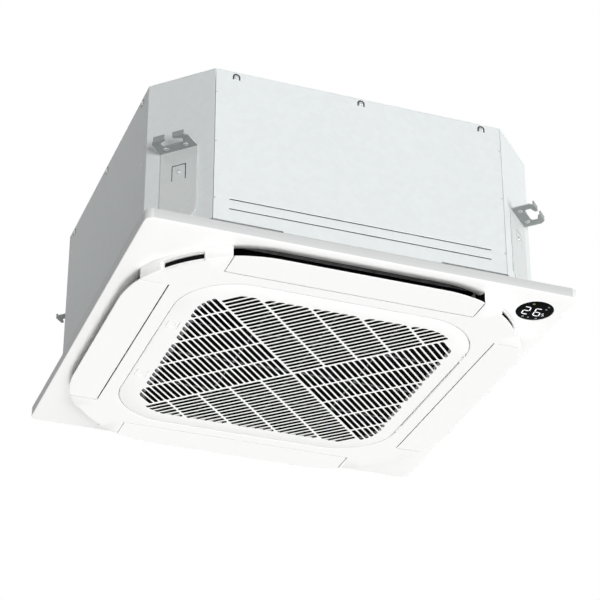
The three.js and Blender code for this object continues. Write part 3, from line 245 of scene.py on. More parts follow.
def circuitBoard(name, colour):
    g = Graph(name)
    where = g.places()
    track = g.add("ShaderNodeTexBrick", {}, {"Vector": where, "Scale": 160, "Mortar Size": 0.06,
                                             "Color1": tone(colour, 1.0), "Color2": tone(colour, 1.25),
                                             "Mortar": tone(colour, 2.0)})
    height = g.noise(where, 500, 2)
    return g.close(Base_Color=track, Roughness=0.3 + height * 0.2, Normal=g.bump(height, 0.15, 0.0003))


finishes = {
    "white_plastic": mouldedPlastic("panelWhite", srgb(250, 250, 249), 0.46, 0.1, 0.99),
    "sheet_steel": zincSheet("zincSheet", srgb(240, 245, 245), 0.5, 0.04),
    "lens_black": glossBlack("lensBlack", srgb(9, 9, 10)),
    "seal_foam": softFoam("sealFoam", srgb(12, 12, 13)),
    "white_foam": beadFoam("beadFoam", srgb(238, 239, 238)),
    "grey_plastic": mouldedPlastic("greyPlastic", srgb(120, 123, 125), 0.5, 0.2, 0.93),
    "motor_steel": barMetal("motorSteel", srgb(128, 132, 135), 0.42, 0.75),
    "soft_rubber": softFoam("softRubber", srgb(26, 26, 26)),
    "copper_tube": barMetal("copperTube", srgb(196, 122, 80), 0.3, 0.95),
    "brass_nut": barMetal("brassNut", srgb(203, 172, 96), 0.3, 0.95),
    "fin_aluminium": barMetal("finAluminium", srgb(190, 196, 200), 0.36, 0.85),
    "circuit_board": circuitBoard("circuitBoard", srgb(30, 92, 52)),
    "filter_net": wovenNet("filterNet", srgb(13, 14, 15)),
}
bracketSteel = zincSheet("bracketZinc", srgb(227, 231, 230), 0.46, 0.08)
# painted shade: a darker copy of the bracket zinc for the claws' undersides
clawShadeZinc = zincSheet("clawShadedZinc", srgb(160, 166, 165), 0.46, 0.1)
screwSteel = barMetal("screwSteel", srgb(205, 208, 208), 0.28, 0.85)
# painted shade: black for the gaps round the top screws
notchShadeBlack = mouldedPlastic("notchShadeBlack", srgb(40, 41, 42), 0.5, 0.3)
# painted shade: near-black for slot walls, the tabs' shadow and the pressed lines' shadow
paintedShadeBlack = mouldedPlastic("paintedShadeBlack", srgb(11, 11, 12), 0.8, 0.3, 0.9, 0.05)
# painted shade: a greyer copy of the panel white for the rim's side faces
rimShadePlastic = mouldedPlastic("rimShadePlastic", srgb(224, 226, 226), 0.48, 0.1, 0.99)
# painted shade: near-black for the duct and corner-slot interiors, which stand in for their shadow
ductFelt = softFoam("ductFelt", srgb(14, 14, 15))
print("finishes made:", len(bpy.data.materials))


# mesh helpers
def roundedLoop(half, radius, steps):
    flat = half - radius
    loop = []
    for corner in range(4):
        signX = 1 if corner in (0, 3) else -1
        signY = 1 if corner < 2 else -1
        for i in range(steps + 1):
            angle = (corner + i / steps) * math.pi / 2
            loop.append((signX * flat + radius * math.cos(angle), signY * flat + radius * math.sin(angle)))
    return loop


def roundCorners(outline, radius, steps):
    rounded = []
    for i, corner in enumerate(outline):
        here = Vector(corner)
        back = Vector(outline[i - 1]) - here
        ahead = Vector(outline[(i + 1) % len(outline)]) - here
        reach = min(radius, back.length * 0.48, ahead.length * 0.48)
        start = here + back.normalized() * reach
        end = here + ahead.normalized() * reach
        for k in range(steps + 1):
            f = k / steps
            rounded.append(tuple(start * (1 - f) ** 2 + here * 2 * f * (1 - f) + end * f ** 2))
    return rounded


def curveAround(centre, radii, first, last, steps):
    return [(centre[0] + radii[0] * math.cos(first + (last - first) * i / steps),
             centre[1] + radii[1] * math.sin(first + (last - first) * i / steps)) for i in range(steps + 1)]


def spanned(side, first, last):
    return sorted((side * first, side * last))


def turnedPoint(x, y, quarter):
    for _ in range(quarter % 4):
        x, y = -y, x
    return x, y


def bridge(bm, low, high):
    for i in range(len(low)):
        j = (i + 1) % len(low)
        bm.faces.new((low[i], low[j], high[j], high[i]))


def addLoop(bm, points, z):
    return [bm.verts.new((x * mm, y * mm, z * mm)) for x, y in points]


def ringLoft(rings, steps, closed=True):
    bm = bmesh.new()
    loops = [addLoop(bm, roundedLoop(half, radius, steps), z) for half, radius, z in rings]
    for low, high in zip(loops, loops[1:]):
        bridge(bm, low, high)
    if closed:
        bridge(bm, loops[-1], loops[0])
    else:
        bm.faces.new(loops[0])
        bm.faces.new(loops[-1])
    return bm


def prism(outline, low, high, bm=None):
    bm = bm or bmesh.new()
    bottom = addLoop(bm, outline, low)
    top = addLoop(bm, outline, high)
    bm.faces.new(bottom)
    bm.faces.new(top)
    bridge(bm, bottom, top)
    return bm


def slab(x0, x1, y0, y1, z0, z1, quarter=0, bm=None):
    corners = [turnedPoint(x, y, quarter) for x, y in ((x0, y0), (x1, y0), (x1, y1), (x0, y1))]
    return prism(corners, z0, z1, bm)


def spunProfile(profile, segments, centre=(0, 0), bm=None):
    bm = bm or bmesh.new()
    loops = []
    for radius, z in profile:
        if radius < 1e-4:
            loops.append([bm.verts.new((centre[0] * mm, centre[1] * mm, z * mm))])
            continue
        angles = [2 * math.pi * i / segments for i in range(segments)]
        loops.append(addLoop(bm, [(centre[0] + radius * math.cos(a), centre[1] + radius * math.sin(a))
                                  for a in angles], z))
    closed = len(loops[0]) > 1
    for low, high in zip(loops, loops[1:] + (loops[:1] if closed else [])):
        if len(low) > 1 and len(high) > 1:
            bridge(bm, low, high)
        elif len(low) > 1 or len(high) > 1:
            tip, rim = (low[0], high) if len(low) == 1 else (high[0], low)
            for i in range(segments):
                bm.faces.new((tip, rim[i], rim[(i + 1) % segments]))
    return bm


def disc(radius, low, high, segments, centre):
    return spunProfile([(0, low), (radius, low), (radius, high), (0, high)], segments, centre)


def tube(outer, inner, low, high, segments, centre, bm):
    return spunProfile([(outer, low), (outer, high), (inner, high), (inner, low)], segments, centre, bm)


def bar(start, end, radius, segments=16, bm=None):
    bm = bm or bmesh.new()
    along = Vector(end) - Vector(start)
    turn = along.to_track_quat("Z", "Y").to_matrix().to_4x4()
    place = Matrix.Translation((Vector(start) + Vector(end)) / 2 * mm) @ turn
    bmesh.ops.create_cone(bm, cap_ends=True, segments=segments, radius1=radius * mm, radius2=radius * mm,
                          depth=along.length * mm, matrix=place)
    return bm


def sector(inner, outer, spread, low, high, quarter, centre, steps=14, bm=None):
    angles = [math.pi / 4 + spread * (2 * i / steps - 1) for i in range(steps + 1)]
    rim = [(centre + outer * math.cos(a), centre + outer * math.sin(a)) for a in angles]
    hub = [(centre + inner * math.cos(a), centre + inner * math.sin(a)) for a in reversed(angles)]
    return prism([turnedPoint(x, y, quarter) for x, y in rim + hub], low, high, bm)


def linked(name, data):
    thing = bpy.data.objects.new(name, data)
    scene.collection.objects.link(thing)
    return thing


def rough(bm, name="part"):
    bmesh.ops.remove_doubles(bm, verts=bm.verts, dist=1e-7)
    bmesh.ops.recalc_face_normals(bm, faces=bm.faces)
    mesh = bpy.data.meshes.new(name)
    bm.to_mesh(mesh)
    bm.free()
    return linked(name, mesh)


def bake(thing):
    bpy.context.view_layer.update()
    live = thing.evaluated_get(bpy.context.evaluated_depsgraph_get())
    mesh = bpy.data.meshes.new_from_object(live)
    thing.modifiers.clear()
    thing.data = mesh
    return thing


def combined(base, operation, *others):
    group = bpy.data.collections.new("operands")
    scene.collection.children.link(group)
    for other in others:
        group.objects.link(other)
    change = base.modifiers.new("combine", "BOOLEAN")
    change.operation = operation
    change.solver = "EXACT"
    change.operand_type = "COLLECTION"
    change.collection = group
    bake(base)
    for other in others:
        bpy.data.objects.remove(other)
    bpy.data.collections.remove(group)
    return base


# a finished piece: eased edges, smooth round faces, its finish, its body
def finished(thing, name, body, slotName, material=None, ease=0.0, segments=2, angle=35, stands=()):
    thing.name = name
    thing.data.name = name
    thing.data.materials.clear()
    thing.data.materials.append(material or finishes[slotName])
    thing.data.polygons.foreach_set("use_smooth", [True] * len(thing.data.polygons))
    thing.data.set_sharp_from_angle(angle=math.radians(angle))
    if ease:
        edge = thing.modifiers.new("edges", "BEVEL")
        edge.width = ease * mm
        edge.segments = segments
        edge.limit_method = "ANGLE"
        edge.angle_limit = math.radians(angle)
        level = thing.modifiers.new("level", "WEIGHTED_NORMAL")
        level.keep_sharp = False
        bake(thing)
    if stands:
        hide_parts(*stands)
        dressed.update(stands)
    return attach(thing, body)


# a CAD node's own shape with its seams merged and its edges eased
def dress(nodeName, material=None, ease=0.3, segments=2, angle=35):
    bm = bmesh.new()
    bm.from_mesh(nodes[nodeName].data)
    bmesh.ops.remove_doubles(bm, verts=bm.verts, dist=1e-6)
    bmesh.ops.dissolve_limit(bm, angle_limit=math.radians(0.5), verts=bm.verts, edges=bm.edges)
    thing = rough(bm)
    return finished(thing, nodeName + "_skin", bodyOfNode[nodeName], slotOfNode[nodeName], material,
                    ease, segments, angle, (nodeName,))


# geometry nodes: what both trees share, from aligning the instances to painting them
def instanceTree(name, axis, sockets, kinds):
    tree = bpy.data.node_groups.new(name, "GeometryNodeTree")
    for title, kind in (("Geometry", "Geometry"), *sockets, ("Material", "Material")):
        tree.interface.new_socket(title, in_out="INPUT", socket_type="NodeSocket" + kind)
    tree.interface.new_socket("Geometry", in_out="OUTPUT", socket_type="NodeSocketGeometry")
    kinds = {"entry": "NodeGroupInput", "exit": "NodeGroupOutput", "align": "FunctionNodeAlignRotationToVector",
             "put": "GeometryNodeInstanceOnPoints", "real": "GeometryNodeRealizeInstances",
             "paint": "GeometryNodeSetMaterial", **kinds}
    made = {key: tree.nodes.new(kind) for key, kind in kinds.items()}
    made["align"].axis = axis

    def link(start, output, end, socket):
        tree.links.new(made[start].outputs[output], made[end].inputs[socket])

    link("align", 0, "put", "Rotation")
    link("put", 0, "real", 0)
    link("real", 0, "paint", "Geometry")
    link("entry", "Material", "paint", "Material")
    link("paint", 0, "exit", 0)
    return tree, made, link


# a small shape on every marked place, facing its own way
def placesTree():
    tree, made, link = instanceTree("shapeOnPlaces", "Z", (("Shape", "Object"), ("Size", "Float")), {
        "info": "GeometryNodeObjectInfo", "facing": "GeometryNodeInputNamedAttribute"})
    made["facing"].data_type = "FLOAT_VECTOR"
    made["facing"].inputs["Name"].default_value = "facing"
    link("entry", "Shape", "info", "Object")
    link("facing", 0, "align", "Vector")
    link("entry", "Geometry", "put", "Points")
    link("info", "Geometry", "put", "Instance")
    link("entry", "Size", "put", "Scale")
    return tree


# fins stand across a path, evenly spaced, each a thin plate
def finsTree():
    tree, made, link = instanceTree("finsOnPath", "X", (("Count", "Int"), ("Plate", "Vector")), {
        "curve": "GeometryNodeMeshToCurve", "spots": "GeometryNodeCurveToPoints", "plate": "GeometryNodeMeshCube"})
    made["spots"].mode = "COUNT"
    link("entry", "Geometry", "curve", 0)
    link("curve", 0, "spots", "Curve")
    link("entry", "Count", "spots", "Count")
    link("entry", "Plate", "plate", "Size")
    link("spots", "Points", "put", "Points")
    link("spots", "Tangent", "align", "Vector")
    link("plate", "Mesh", "put", "Instance")
    return tree


def grown(thing, tree, **values):
    grow = thing.modifiers.new("grow", "NODES")
    grow.node_group = tree
    for item in tree.interface.items_tree:
        if item.in_out == "INPUT" and item.name in values:
            grow[item.identifier] = values[item.name]
    return bake(thing)


shapeOnPlaces = placesTree()
finsOnPath = finsTree()


def placedShapes(name, shape, places, body, slotName, material, size=1.0, angle=35):
    mesh = bpy.data.meshes.new(name)
    mesh.from_pydata([Vector(spot) * mm for spot, _ in places], [], [])
    facing = mesh.attributes.new("facing", "FLOAT_VECTOR", "POINT")
    facing.data.foreach_set("vector", [part for _, way in places for part in way])
    thing = linked(name, mesh)
    grown(thing, shapeOnPlaces, Shape=shape, Size=size, Material=material)
    return finished(thing, name, body, slotName, material, angle=angle)


# decorative panel
panel = {
    "half": 310, "cornerRadius": 11, "faceZ": 17.2, "ceilingZ": 32.2, "borderHalf": 296, "centreHalf": 292.5,
    "cornerCentre": 116, "wall": 2.5, "face": 2, "lipRadius": 38, "ductTop": 50.2, "openingHalf": 218,
    "openingRadius": 91.2, "windowInner": 238.6, "windowEnd": 181.3, "endWall": 3, "endTop": 36, "steps": 26,
    "slotSpread": 11.0, "display": (267, -258), "lensRadius": 26.5, "bodyHalf": 287.5, "bodyCut": 73.4,
    # shadeFrom and shadeX place the painted shade sheets inside the ducts
    "tabAt": 180, "shadeFrom": 23.5, "pivotX": 243.2, "pivotZ": 4.6, "pivotEnd": 182.8,
    "hinge": (217.2, 1.4, 1.1), "hingeAt": (-120, 120), "shadeX": (250, 292), "recessRadius": 29.6,
}


def lipArc(grow, steps):
    radius = panel["lipRadius"] + grow
    centreZ = panel["faceZ"] + panel["lipRadius"]
    last = math.acos((centreZ - panel["ductTop"]) / radius)
    rings = []
    for i in range(steps + 1):
        angle = last * i / steps
        half = panel["borderHalf"] - radius * math.sin(angle)
        rings.append((half, half - panel["cornerCentre"], centreZ - radius * math.cos(angle)))
    return rings


def octagon(inset):
    half = panel["bodyHalf"] - inset
    flat = panel["bodyHalf"] - panel["bodyCut"] - inset * (math.sqrt(2) - 1)
    return [(half, -flat), (half, flat), (flat, half), (-flat, half),
            (-half, flat), (-half, -flat), (-flat, -half), (flat, -half)]


# painted shade: black sheets on the duct's curve, on its inner wall, at the flaps' ends and behind the corner
# slots, where the openings fall into shadow
def buildDuctShade(steps, plugRings):
    p = panel
    c = p["cornerCentre"]
    start, window, opening = p["shadeFrom"], p["windowInner"], p["openingHalf"]
    top, end = p["ductTop"], p["endTop"]
    outside = [ring for ring in lipArc(0.5, 30) if ring[2] > start]
    inside = [ring for ring in lipArc(-0.4, 30) if ring[2] > start]
    curveShade = rough(ringLoft(outside + inside[::-1], steps))
    wall = rough(ringLoft([(window - 6.2, 46.4, 2), (opening + 6.5, 40.5, end), (opening + 6.5, 40.5, top),
                           (opening + 5, 39, top), (opening + 5, 39, end), (window - 7.6, 45, 2)], steps))
    ends = bmesh.new()
    for k in range(4):
        for side in (-1, 1):
            near, far = spanned(side, p["windowEnd"] - 0.4, p["windowEnd"] + 0.5)
            slab(*p["shadeX"], near, far, 2.4, end, k, ends)
    endFelt = combined(rough(ends), "INTERSECT", rough(ringLoft(plugRings, steps, False)))
    backs = bmesh.new()
    rim = p["centreHalf"] - c - 5
    for k in range(4):
        sector(rim - 6, rim - 2.3, math.radians(p["slotSpread"]) + 0.03, 2.2, 16, k, c, bm=backs)
    for thing, name in ((curveShade, "ductFelt"), (wall, "ductWallFelt"), (endFelt, "endFelt"),
                        (rough(backs), "cornerFelt")):
        finished(thing, name, "chassis", "seal_foam", ductFelt)


def buildPanel():
    p = panel
    steps = p["steps"]
    half, radius, z, ceiling = p["half"], p["cornerRadius"], p["faceZ"], p["ceilingZ"]
    wall, face, window, end, top = p["wall"], p["face"], p["windowInner"], p["endTop"], p["ductTop"]
    edge = [(half - 1.4, z), (half - 0.7, z + 0.12), (half - 0.2, z + 0.5), (half, z + 1.3), (half, ceiling - 0.6),
            (half - 0.2, ceiling - 0.15), (half - 0.6, ceiling), (half - wall, ceiling), (half - wall, z + wall)]
    rings = [(h, radius - (half - h), level) for h, level in edge]
    rings += lipArc(-wall, 10) + lipArc(0, 14)[::-1]
    border = rough(ringLoft(rings, steps))

    land = rough(prism(octagon(-2), z + 4.8, ceiling))
    inner = p["centreHalf"] - 13
    combined(land, "DIFFERENCE", rough(prism(roundedLoop(inner, inner - p["cornerCentre"], steps), 0, 60)))

    o, r = p["openingHalf"], p["openingRadius"]
    ring = rough(ringLoft([(o + 0.7, r + 0.7, 0), (window - 0.6, 50, 0), (window - 0.15, 50, 0.2),
                           (window, 50, 0.7), (window, 50, face), (window - 6.6, 46, face), (o + 6, 40, end),
                           (o + 6, 40, top), (o, r, top), (o, r, 0.7), (o + 0.2, r + 0.2, 0.2)], steps))

    h = p["centreHalf"]
    c = p["cornerCentre"]
    corners = rough(ringLoft([(o + 3, r + 3, 0), (h - 0.9, h - 0.9 - c, 0), (h - 0.3, h - 0.3 - c, 0.25),
                              (h, h - c, 0.9), (h, h - c, z + 1.2), (h - wall, h - wall - c, z + 1.2),
                              (h - wall, h - wall - c, face), (o + 3, r + 3, face)], steps))
    windows = [rough(slab(window, 330, -p["windowEnd"], p["windowEnd"], -5, 60, k)) for k in range(4)]
    combined(corners, "DIFFERENCE", *windows)
    spread = math.radians(p["slotSpread"])
    rim = h - c - 5
    frames = [rough(sector(rim - 2, h - c - 0.4, spread + 0.012, 0.4, 15, k, c)) for k in range(4)]
    combined(corners, "UNION", *frames)

    ends = bmesh.new()
    for k in range(4):
        for side in (-1, 1):
            slab(o + 5, h, *spanned(side, p["windowEnd"], p["windowEnd"] + p["endWall"]), 0, end, k, ends)
    endWalls = rough(ends)
    plugRings = [(h - 0.5, h - 0.5 - c, -1), (h - 0.5, h - 0.5 - c, z + 1)]
    plugRings += lipArc(-wall / 2, 8)[1:]
    combined(endWalls, "INTERSECT", rough(ringLoft(plugRings, steps, False)))

    tabs = bmesh.new()
    for k in range(4):
        tube(12, 3.4, 44, 48, 32, turnedPoint(p["tabAt"], p["tabAt"], k), tabs)
    arms = [rough(slab(p["tabAt"] + 8, o - 8, p["tabAt"] - 8, p["tabAt"] + 8, 44, 48, k)) for k in range(4)]
    combined(border, "UNION", land, ring, corners, endWalls, *arms)

    cuts = []
    for k in range(4):
        cuts.append(sector(rim, h - c + 6, spread, -1, 13, k, c))
        cuts.append(sector(rim - 6, rim + 1, spread - 0.015, 4, 12, k, c))
    for y in p["hingeAt"]:
        cuts.append(slab(o - 1, p["hinge"][0] + 3, y - 6, y + 6, 1, 5.1))
    cuts.append(disc(p["lensRadius"] + 0.3, -5, 60, 64, p["display"]))
    cuts.append(disc(p["recessRadius"], z + wall, 60, 64, p["display"]))
    combined(border, "DIFFERENCE", *map(rough, cuts))
    finished(border, "panelShell", "chassis", "white_plastic", angle=28, stands=("panel_frame",))
    # painted shade: the panel's outer side faces take the greyer copy of its white
    border.data.materials.append(rimShadePlastic)
    for part in border.data.polygons:
        px, py, pz = part.center / mm
        if max(abs(px), abs(py)) > half - 0.1 and pz > z + 1.2:
            part.material_index = 1
    finished(rough(tabs), "panelBoltTabs", "chassis", "white_plastic", ease=0.4)

    x, z, pin = p["hinge"]
    ears = bmesh.new()
    for y in p["hingeAt"]:
        for side in (-1, 1):
            mid = y + side * 7.5
            slab(x - pin, o + 1, mid - 1.5, mid + 1.5, 0.3, 5, bm=ears)
        bar((x, y - 7, z), (x, y + 7, z), pin, 24, ears)
    finished(rough(ears), "panelHingeEars", "chassis", "white_plastic", ease=0.2)
    buildDuctShade(steps, plugRings)


buildPanel()
print("panel done")


# return grille
grille = {
    "half": 216.8, "radius": 90, "plate": 2.2, "skirt": 12, "wall": 2, "zoneHalf": 190, "zoneRadius": 62,
    "centre": (4, 3), "pitch": 9.38, "width": 6.5, "cell": 51.3, "crossRib": 3.2, "mainRib": 4, "chamfer": 0.3,
    "steps": 22, "catches": ((-202, 77), (-202, -77)), "pad": (16, 21.6), "padGap": 0.4, "padEase": (0.2, 0.25),
    "hingeEdge": 2.4, "roundMark": (-197, -7),
}


def insideZone(x, y):
    flat = grille["zoneHalf"] - grille["zoneRadius"]
    dx = max(abs(x) - flat, 0)
    dy = max(abs(y) - flat, 0)
    return math.hypot(dx, dy) < grille["zoneRadius"]


def reachAlong(along, across, t):
    low, high = 0.0, 400.0
    for _ in range(18):
        mid = (low + high) / 2
        if insideZone(mid * along[0] + t * across[0], mid * along[1] + t * across[1]):
            low = mid
        else:
            high = mid
    return low


def slotOutlines(grow):
    g = grille
    outlines = []
    diagonal = g["zoneHalf"] * math.sqrt(2)
    for quadrant in range(4):
        angle = (5 / 4 + quadrant / 2) * math.pi
        along = (math.cos(angle), math.sin(angle))
        across = (math.sin(angle), -math.cos(angle))
        for row in range(math.ceil(diagonal / g["pitch"])):
            middle = g["mainRib"] / 2 + g["width"] / 2 + row * g["pitch"]
            near, far = middle - g["width"] / 2, middle + g["width"] / 2
            nearEnd = reachAlong(along, across, near)
            farEnd = reachAlong(along, across, far)
            for cell in range(math.ceil(diagonal / g["cell"])):
                start = g["mainRib"] / 2 + cell * g["cell"]
                end = start + g["cell"] - g["crossRib"]
                if min(nearEnd, farEnd) < start + 4:
                    continue
                a, b = min(end, nearEnd), min(end, farEnd)
                corners = [(start - grow, near - grow), (a + grow, near - grow),
                           (b + grow, far + grow), (start - grow, far + grow)]
                shaped = roundCorners(corners, 2.6 + grow, 3)
                outlines.append([(g["centre"][0] + s * along[0] + t * across[0],
                                  g["centre"][1] + s * along[1] + t * across[1]) for s, t in shaped])
    return outlines


def padOutlines(grow):
    outlines = []
    for x, y in grille["catches"]:
        w = grille["pad"][0] / 2 + grille["padGap"] + grow
        d = grille["pad"][1] / 2 + grille["padGap"] + grow
        outlines.append(roundCorners([(x - w, y - d), (x + w, y - d), (x + w, y + d), (x - w, y + d)], 1.2, 3))
    return outlines


def fillBetween(bm, loops):
    edges = []
    for loop in loops:
        for i in range(len(loop)):
            edges.append(bm.edges.get((loop[i], loop[(i + 1) % len(loop)]))
                         or bm.edges.new((loop[i], loop[(i + 1) % len(loop)])))
    bmesh.ops.triangle_fill(bm, use_beauty=True, edges=edges)


def buildGrille():
    g = grille
    bm = bmesh.new()
    half, radius = g["half"], g["radius"]
    profile = [(half - 0.7, 0), (half - 0.2, 0.2), (half, 0.7), (half, g["skirt"]),
               (half - g["wall"], g["skirt"]), (half - g["wall"], g["plate"])]
    rim = [addLoop(bm, roundedLoop(h, radius - (half - h), g["steps"]), z) for h, z in profile]
    for low, high in zip(rim, rim[1:]):
        bridge(bm, low, high)
    front, back = [], []
    for outlinesOf, grow, depth in ((slotOutlines, g["chamfer"], g["chamfer"]), (padOutlines, *g["padEase"])):
        for wide, narrow in zip(outlinesOf(grow), outlinesOf(0)):
            rows = [addLoop(bm, wide, 0), addLoop(bm, narrow, depth), addLoop(bm, narrow, g["plate"])]
            bridge(bm, rows[0], rows[1])
            bridge(bm, rows[1], rows[2])
            front.append(rows[0])
            back.append(rows[2])
    fillBetween(bm, [rim[0]] + front)
    fillBetween(bm, [rim[-1]] + back)
    plate = rough(bm)
    x, z, pin = panel["hinge"]
    cuts = []
    for y in panel["hingeAt"]:
        cuts.append(slab(x - 7, 220, y - 10, y + 10, g["plate"], 13))
        cuts.append(slab(x - pin - 0.6, 220, y - 10, y + 10, -1, 3))
    for _, y in reversed(g["catches"]):
        cuts.append(slab(-218, -213.8, y - 7, y + 7, g["plate"], 13))
    edge = bmesh.new()
    reach = g["hingeEdge"]
    ends = [[edge.verts.new((px * mm, y * mm, pz * mm))
             for px, pz in ((half - reach - 1, -1), (half + 1, -1), (half + 1, reach + 1))] for y in (-216, 216)]
    bridge(edge, *ends)
    edge.faces.new(ends[0])
    edge.faces.new(ends[1])
    cuts.append(edge)
    cuts.append(spunProfile([(5.3, -1), (5.8, -1), (5.8, 0.3), (5.3, 0.3)], 40, g["roundMark"]))
    combined(plate, "DIFFERENCE", *map(rough, cuts))
    finished(plate, "grillePlate", "grille", "white_plastic", angle=30, stands=("return_grille",))
    # painted shade: the slot walls inside the vent zone take the dark material in place of the slots' shadowed
    # depths
    plate.data.materials.append(paintedShadeBlack)
    # known fault, left as it is: this loop overwrites the hinge's x and z, so the hooks below miss the pins
    for face in plate.data.polygons:
        x, y, z = face.center / mm
        if g["chamfer"] < z < g["plate"] - 0.1 and max(abs(x), abs(y)) < g["zoneHalf"] + 2:
            face.material_index = 1

    hooks = rough(slab(x - 6, x + 2.4, -125, -115, 1.1, z + 2.4))
    combined(hooks, "UNION", rough(slab(x - 6, x + 2.4, 115, 125, 1.1, z + 2.4)))
    combined(hooks, "DIFFERENCE", rough(bar((x, -130, z), (x, 130, z), 1.4, 32)),
             rough(slab(x - 1.4, x + 3, -130, 130, -1, z)))
    finished(hooks, "grilleHooks", "grille", "white_plastic", ease=0.25)
    for name in ("grille_catch_1", "grille_catch_2"):
        dress(name, ease=0.3)
    dress("filter_frame", ease=0.4)
    dress("filter_mesh", ease=0.0)


buildGrille()
print("grille done")

# air flaps
flap = {"inner": 240.4, "halfLength": 180, "plate": 2.2, "cornerCentre": 116, "outer": 292.5, "ribs": 7}


def buildFlap(side, quarter):
    f = flap
    c, end = f["cornerCentre"], f["halfLength"]
    radius = f["outer"] - c
    tip = math.asin((end - c) / radius)
    arc = curveAround((c, c), (radius, radius), 0, tip, 10)
    lower = [(x, -y) for x, y in reversed(arc)]
    outline = [(f["inner"], -end)] + lower + arc + [(f["inner"], end)]
    plate = rough(prism([turnedPoint(x, y, quarter) for x, y in outline], 0, f["plate"]))
    finished(plate, "flapPlate_" + side, "flap_" + side, "white_plastic", ease=0.6, segments=3,
             stands=("flap_" + side,))
    ribs = bmesh.new()
    x = panel["pivotX"]
    for sign in (-1, 1):
        slab(f["inner"] + 0.4, x + 3, *spanned(sign, end - 10, end), 1.5, 6.2, quarter, ribs)
        start = turnedPoint(x, sign * (end - 5), quarter)
        stop = turnedPoint(x, sign * panel["pivotEnd"], quarter)
        bar((*start, panel["pivotZ"]), (*stop, panel["pivotZ"]), 1.6, 16, ribs)
    mid = (f["inner"] + f["outer"]) / 2
    slab(mid - 0.8, mid + 0.8, 14 - end, end - 14, 1.5, 4.6, quarter, ribs)
    for i in range(f["ribs"]):
        y = (i - (f["ribs"] - 1) / 2) * 2 * (end - 30) / (f["ribs"] - 1)
        slab(f["inner"] + 3, f["outer"] - 10, y - 0.6, y + 0.6, 1.5, 3.8, quarter, ribs)
    finished(rough(ribs), "flapRibs_" + side, "flap_" + side, "white_plastic", ease=0.25)


for quarter, side in enumerate(("right", "far", "left", "near")):
    buildFlap(side, quarter)
    dress("flap_motor_" + side, ease=0.3)
print("flaps done")

# round display
display = {"radius": 26.5, "z": 17.2, "digitHeight": 19, "digitWidth": 8.8, "stroke": 1.6, "lean": -0.13,
           "signs": ((-9.9, 18.7, 1.6), (-1.3, 19.2, 1.2), (10.6, 18.7, 1.4), (13.6, -8.6, 1.3),
                     (14.5, -15.5, 1.1)), "lamp": (-9.1, -17.3)}
segmentsOf = {"2": "abged", "6": "afgedc", "5": "afgcd"}


def digitOutlines(digit, left, top, height, width, stroke):
    points = {"a": ((0, 0), (1, 0)), "b": ((1, 0), (1, 1)), "c": ((1, 1), (1, 2)), "d": ((0, 2), (1, 2)),
              "e": ((0, 1), (0, 2)), "f": ((0, 0), (0, 1)), "g": ((0, 1), (1, 1))}
    outlines = []
    for key in segmentsOf[digit]:
        (x0, y0), (x1, y1) = points[key]
        start = Vector((left + x0 * width, top + y0 * height / 2))
        stop = Vector((left + x1 * width, top + y1 * height / 2))
        along = (stop - start).normalized()
        side = Vector((-along.y, along.x)) * stroke / 2
        a, b = start + along * 0.5, stop - along * 0.5
        tip = along * stroke / 2
        outlines.append([a, a + tip + side, b - tip + side, b, b - tip - side, a + tip - side])
    return outlines


def buildDisplay():
    d = display
    x, y = panel["display"]
    z, r = d["z"], d["radius"]
    lens = spunProfile([(0, z), (r - 1.6, z), (r - 0.6, z + 0.15), (r - 0.15, z + 0.5), (r, z + 1.1),
                        (r, z + 2.8), (0, z + 2.8)], 96, (x, y))
    finished(rough(lens), "displayFace", "chassis", "lens_black", angle=30, stands=("display_lens",))
    marks = bmesh.new()

    # seen from below, up on the display is towards the near edge of the unit
    def stamp(outline):
        prism([(x + px + d["lean"] * -py, y + py) for px, py in outline], z - 0.12, z + 0.3, marks)

    for digit, left in (("2", -16.5), ("6", 0.4)):
        for outline in digitOutlines(digit, left, -7.2, d["digitHeight"], d["digitWidth"], d["stroke"]):
            stamp(outline)
    for outline in digitOutlines("5", 12.6, 3.4, 6.4, 3.0, 0.9):
        stamp(outline)
    finished(rough(marks), "displayDigits", "chassis", "lens_black",
             litMark("digitWhite", srgb(235, 238, 240), 0.6))
    signs = bmesh.new()
    for across, down, size in d["signs"]:
        tube(size, size - 0.5, z - 0.1, z + 0.3, 20, (x + across, y + down), signs)
    finished(rough(signs), "displayDots", "chassis", "lens_black", litMark("dotGrey", srgb(170, 176, 180), 0.4))
    lamp = disc(1.9, z - 0.1, z + 0.3, 24, (x + d["lamp"][0], y + d["lamp"][1]))
    finished(rough(lamp), "displayLamp", "chassis", "lens_black", litMark("lampGreen", srgb(92, 130, 62), 0.3))
    dress("display_housing", ease=0.3)


buildDisplay()
print("display done")

# chassis
fixings = {
    "topRow": (-184, 0, 184), "topZ": 283.0, "seamZ": (252, 172, 82), "seamEdges": (194.5, 211.5),
    "notch": (5.4, 3.5, 4.6), "notchOut": 0.3, "tabShadow": (117, 151, 354.75, 16), "tabScrewZ": 134,
    "pressLine": ((170.5, 190.5), (84.2, 69.2)), "bracketRivets": ((-15, 11), (15, 11)), "cornerDistance": 355.0,
    "clawFrom": 168.5, "rivetZ": 169, "slant": math.sqrt(0.5),
    "screwHead": ((0, 1.1), (0.7, 1.1), (0.9, 1.5), (1.5, 1.5), (2.4, 1.2), (3.0, 0.7), (3.3, 0.25),
                  (3.4, 0), (0, 0)),
    "rivetHead": ((0, 1.2), (0.9, 1.15), (1.7, 0.9), (2.3, 0.5), (2.6, 0), (0, 0)),
}

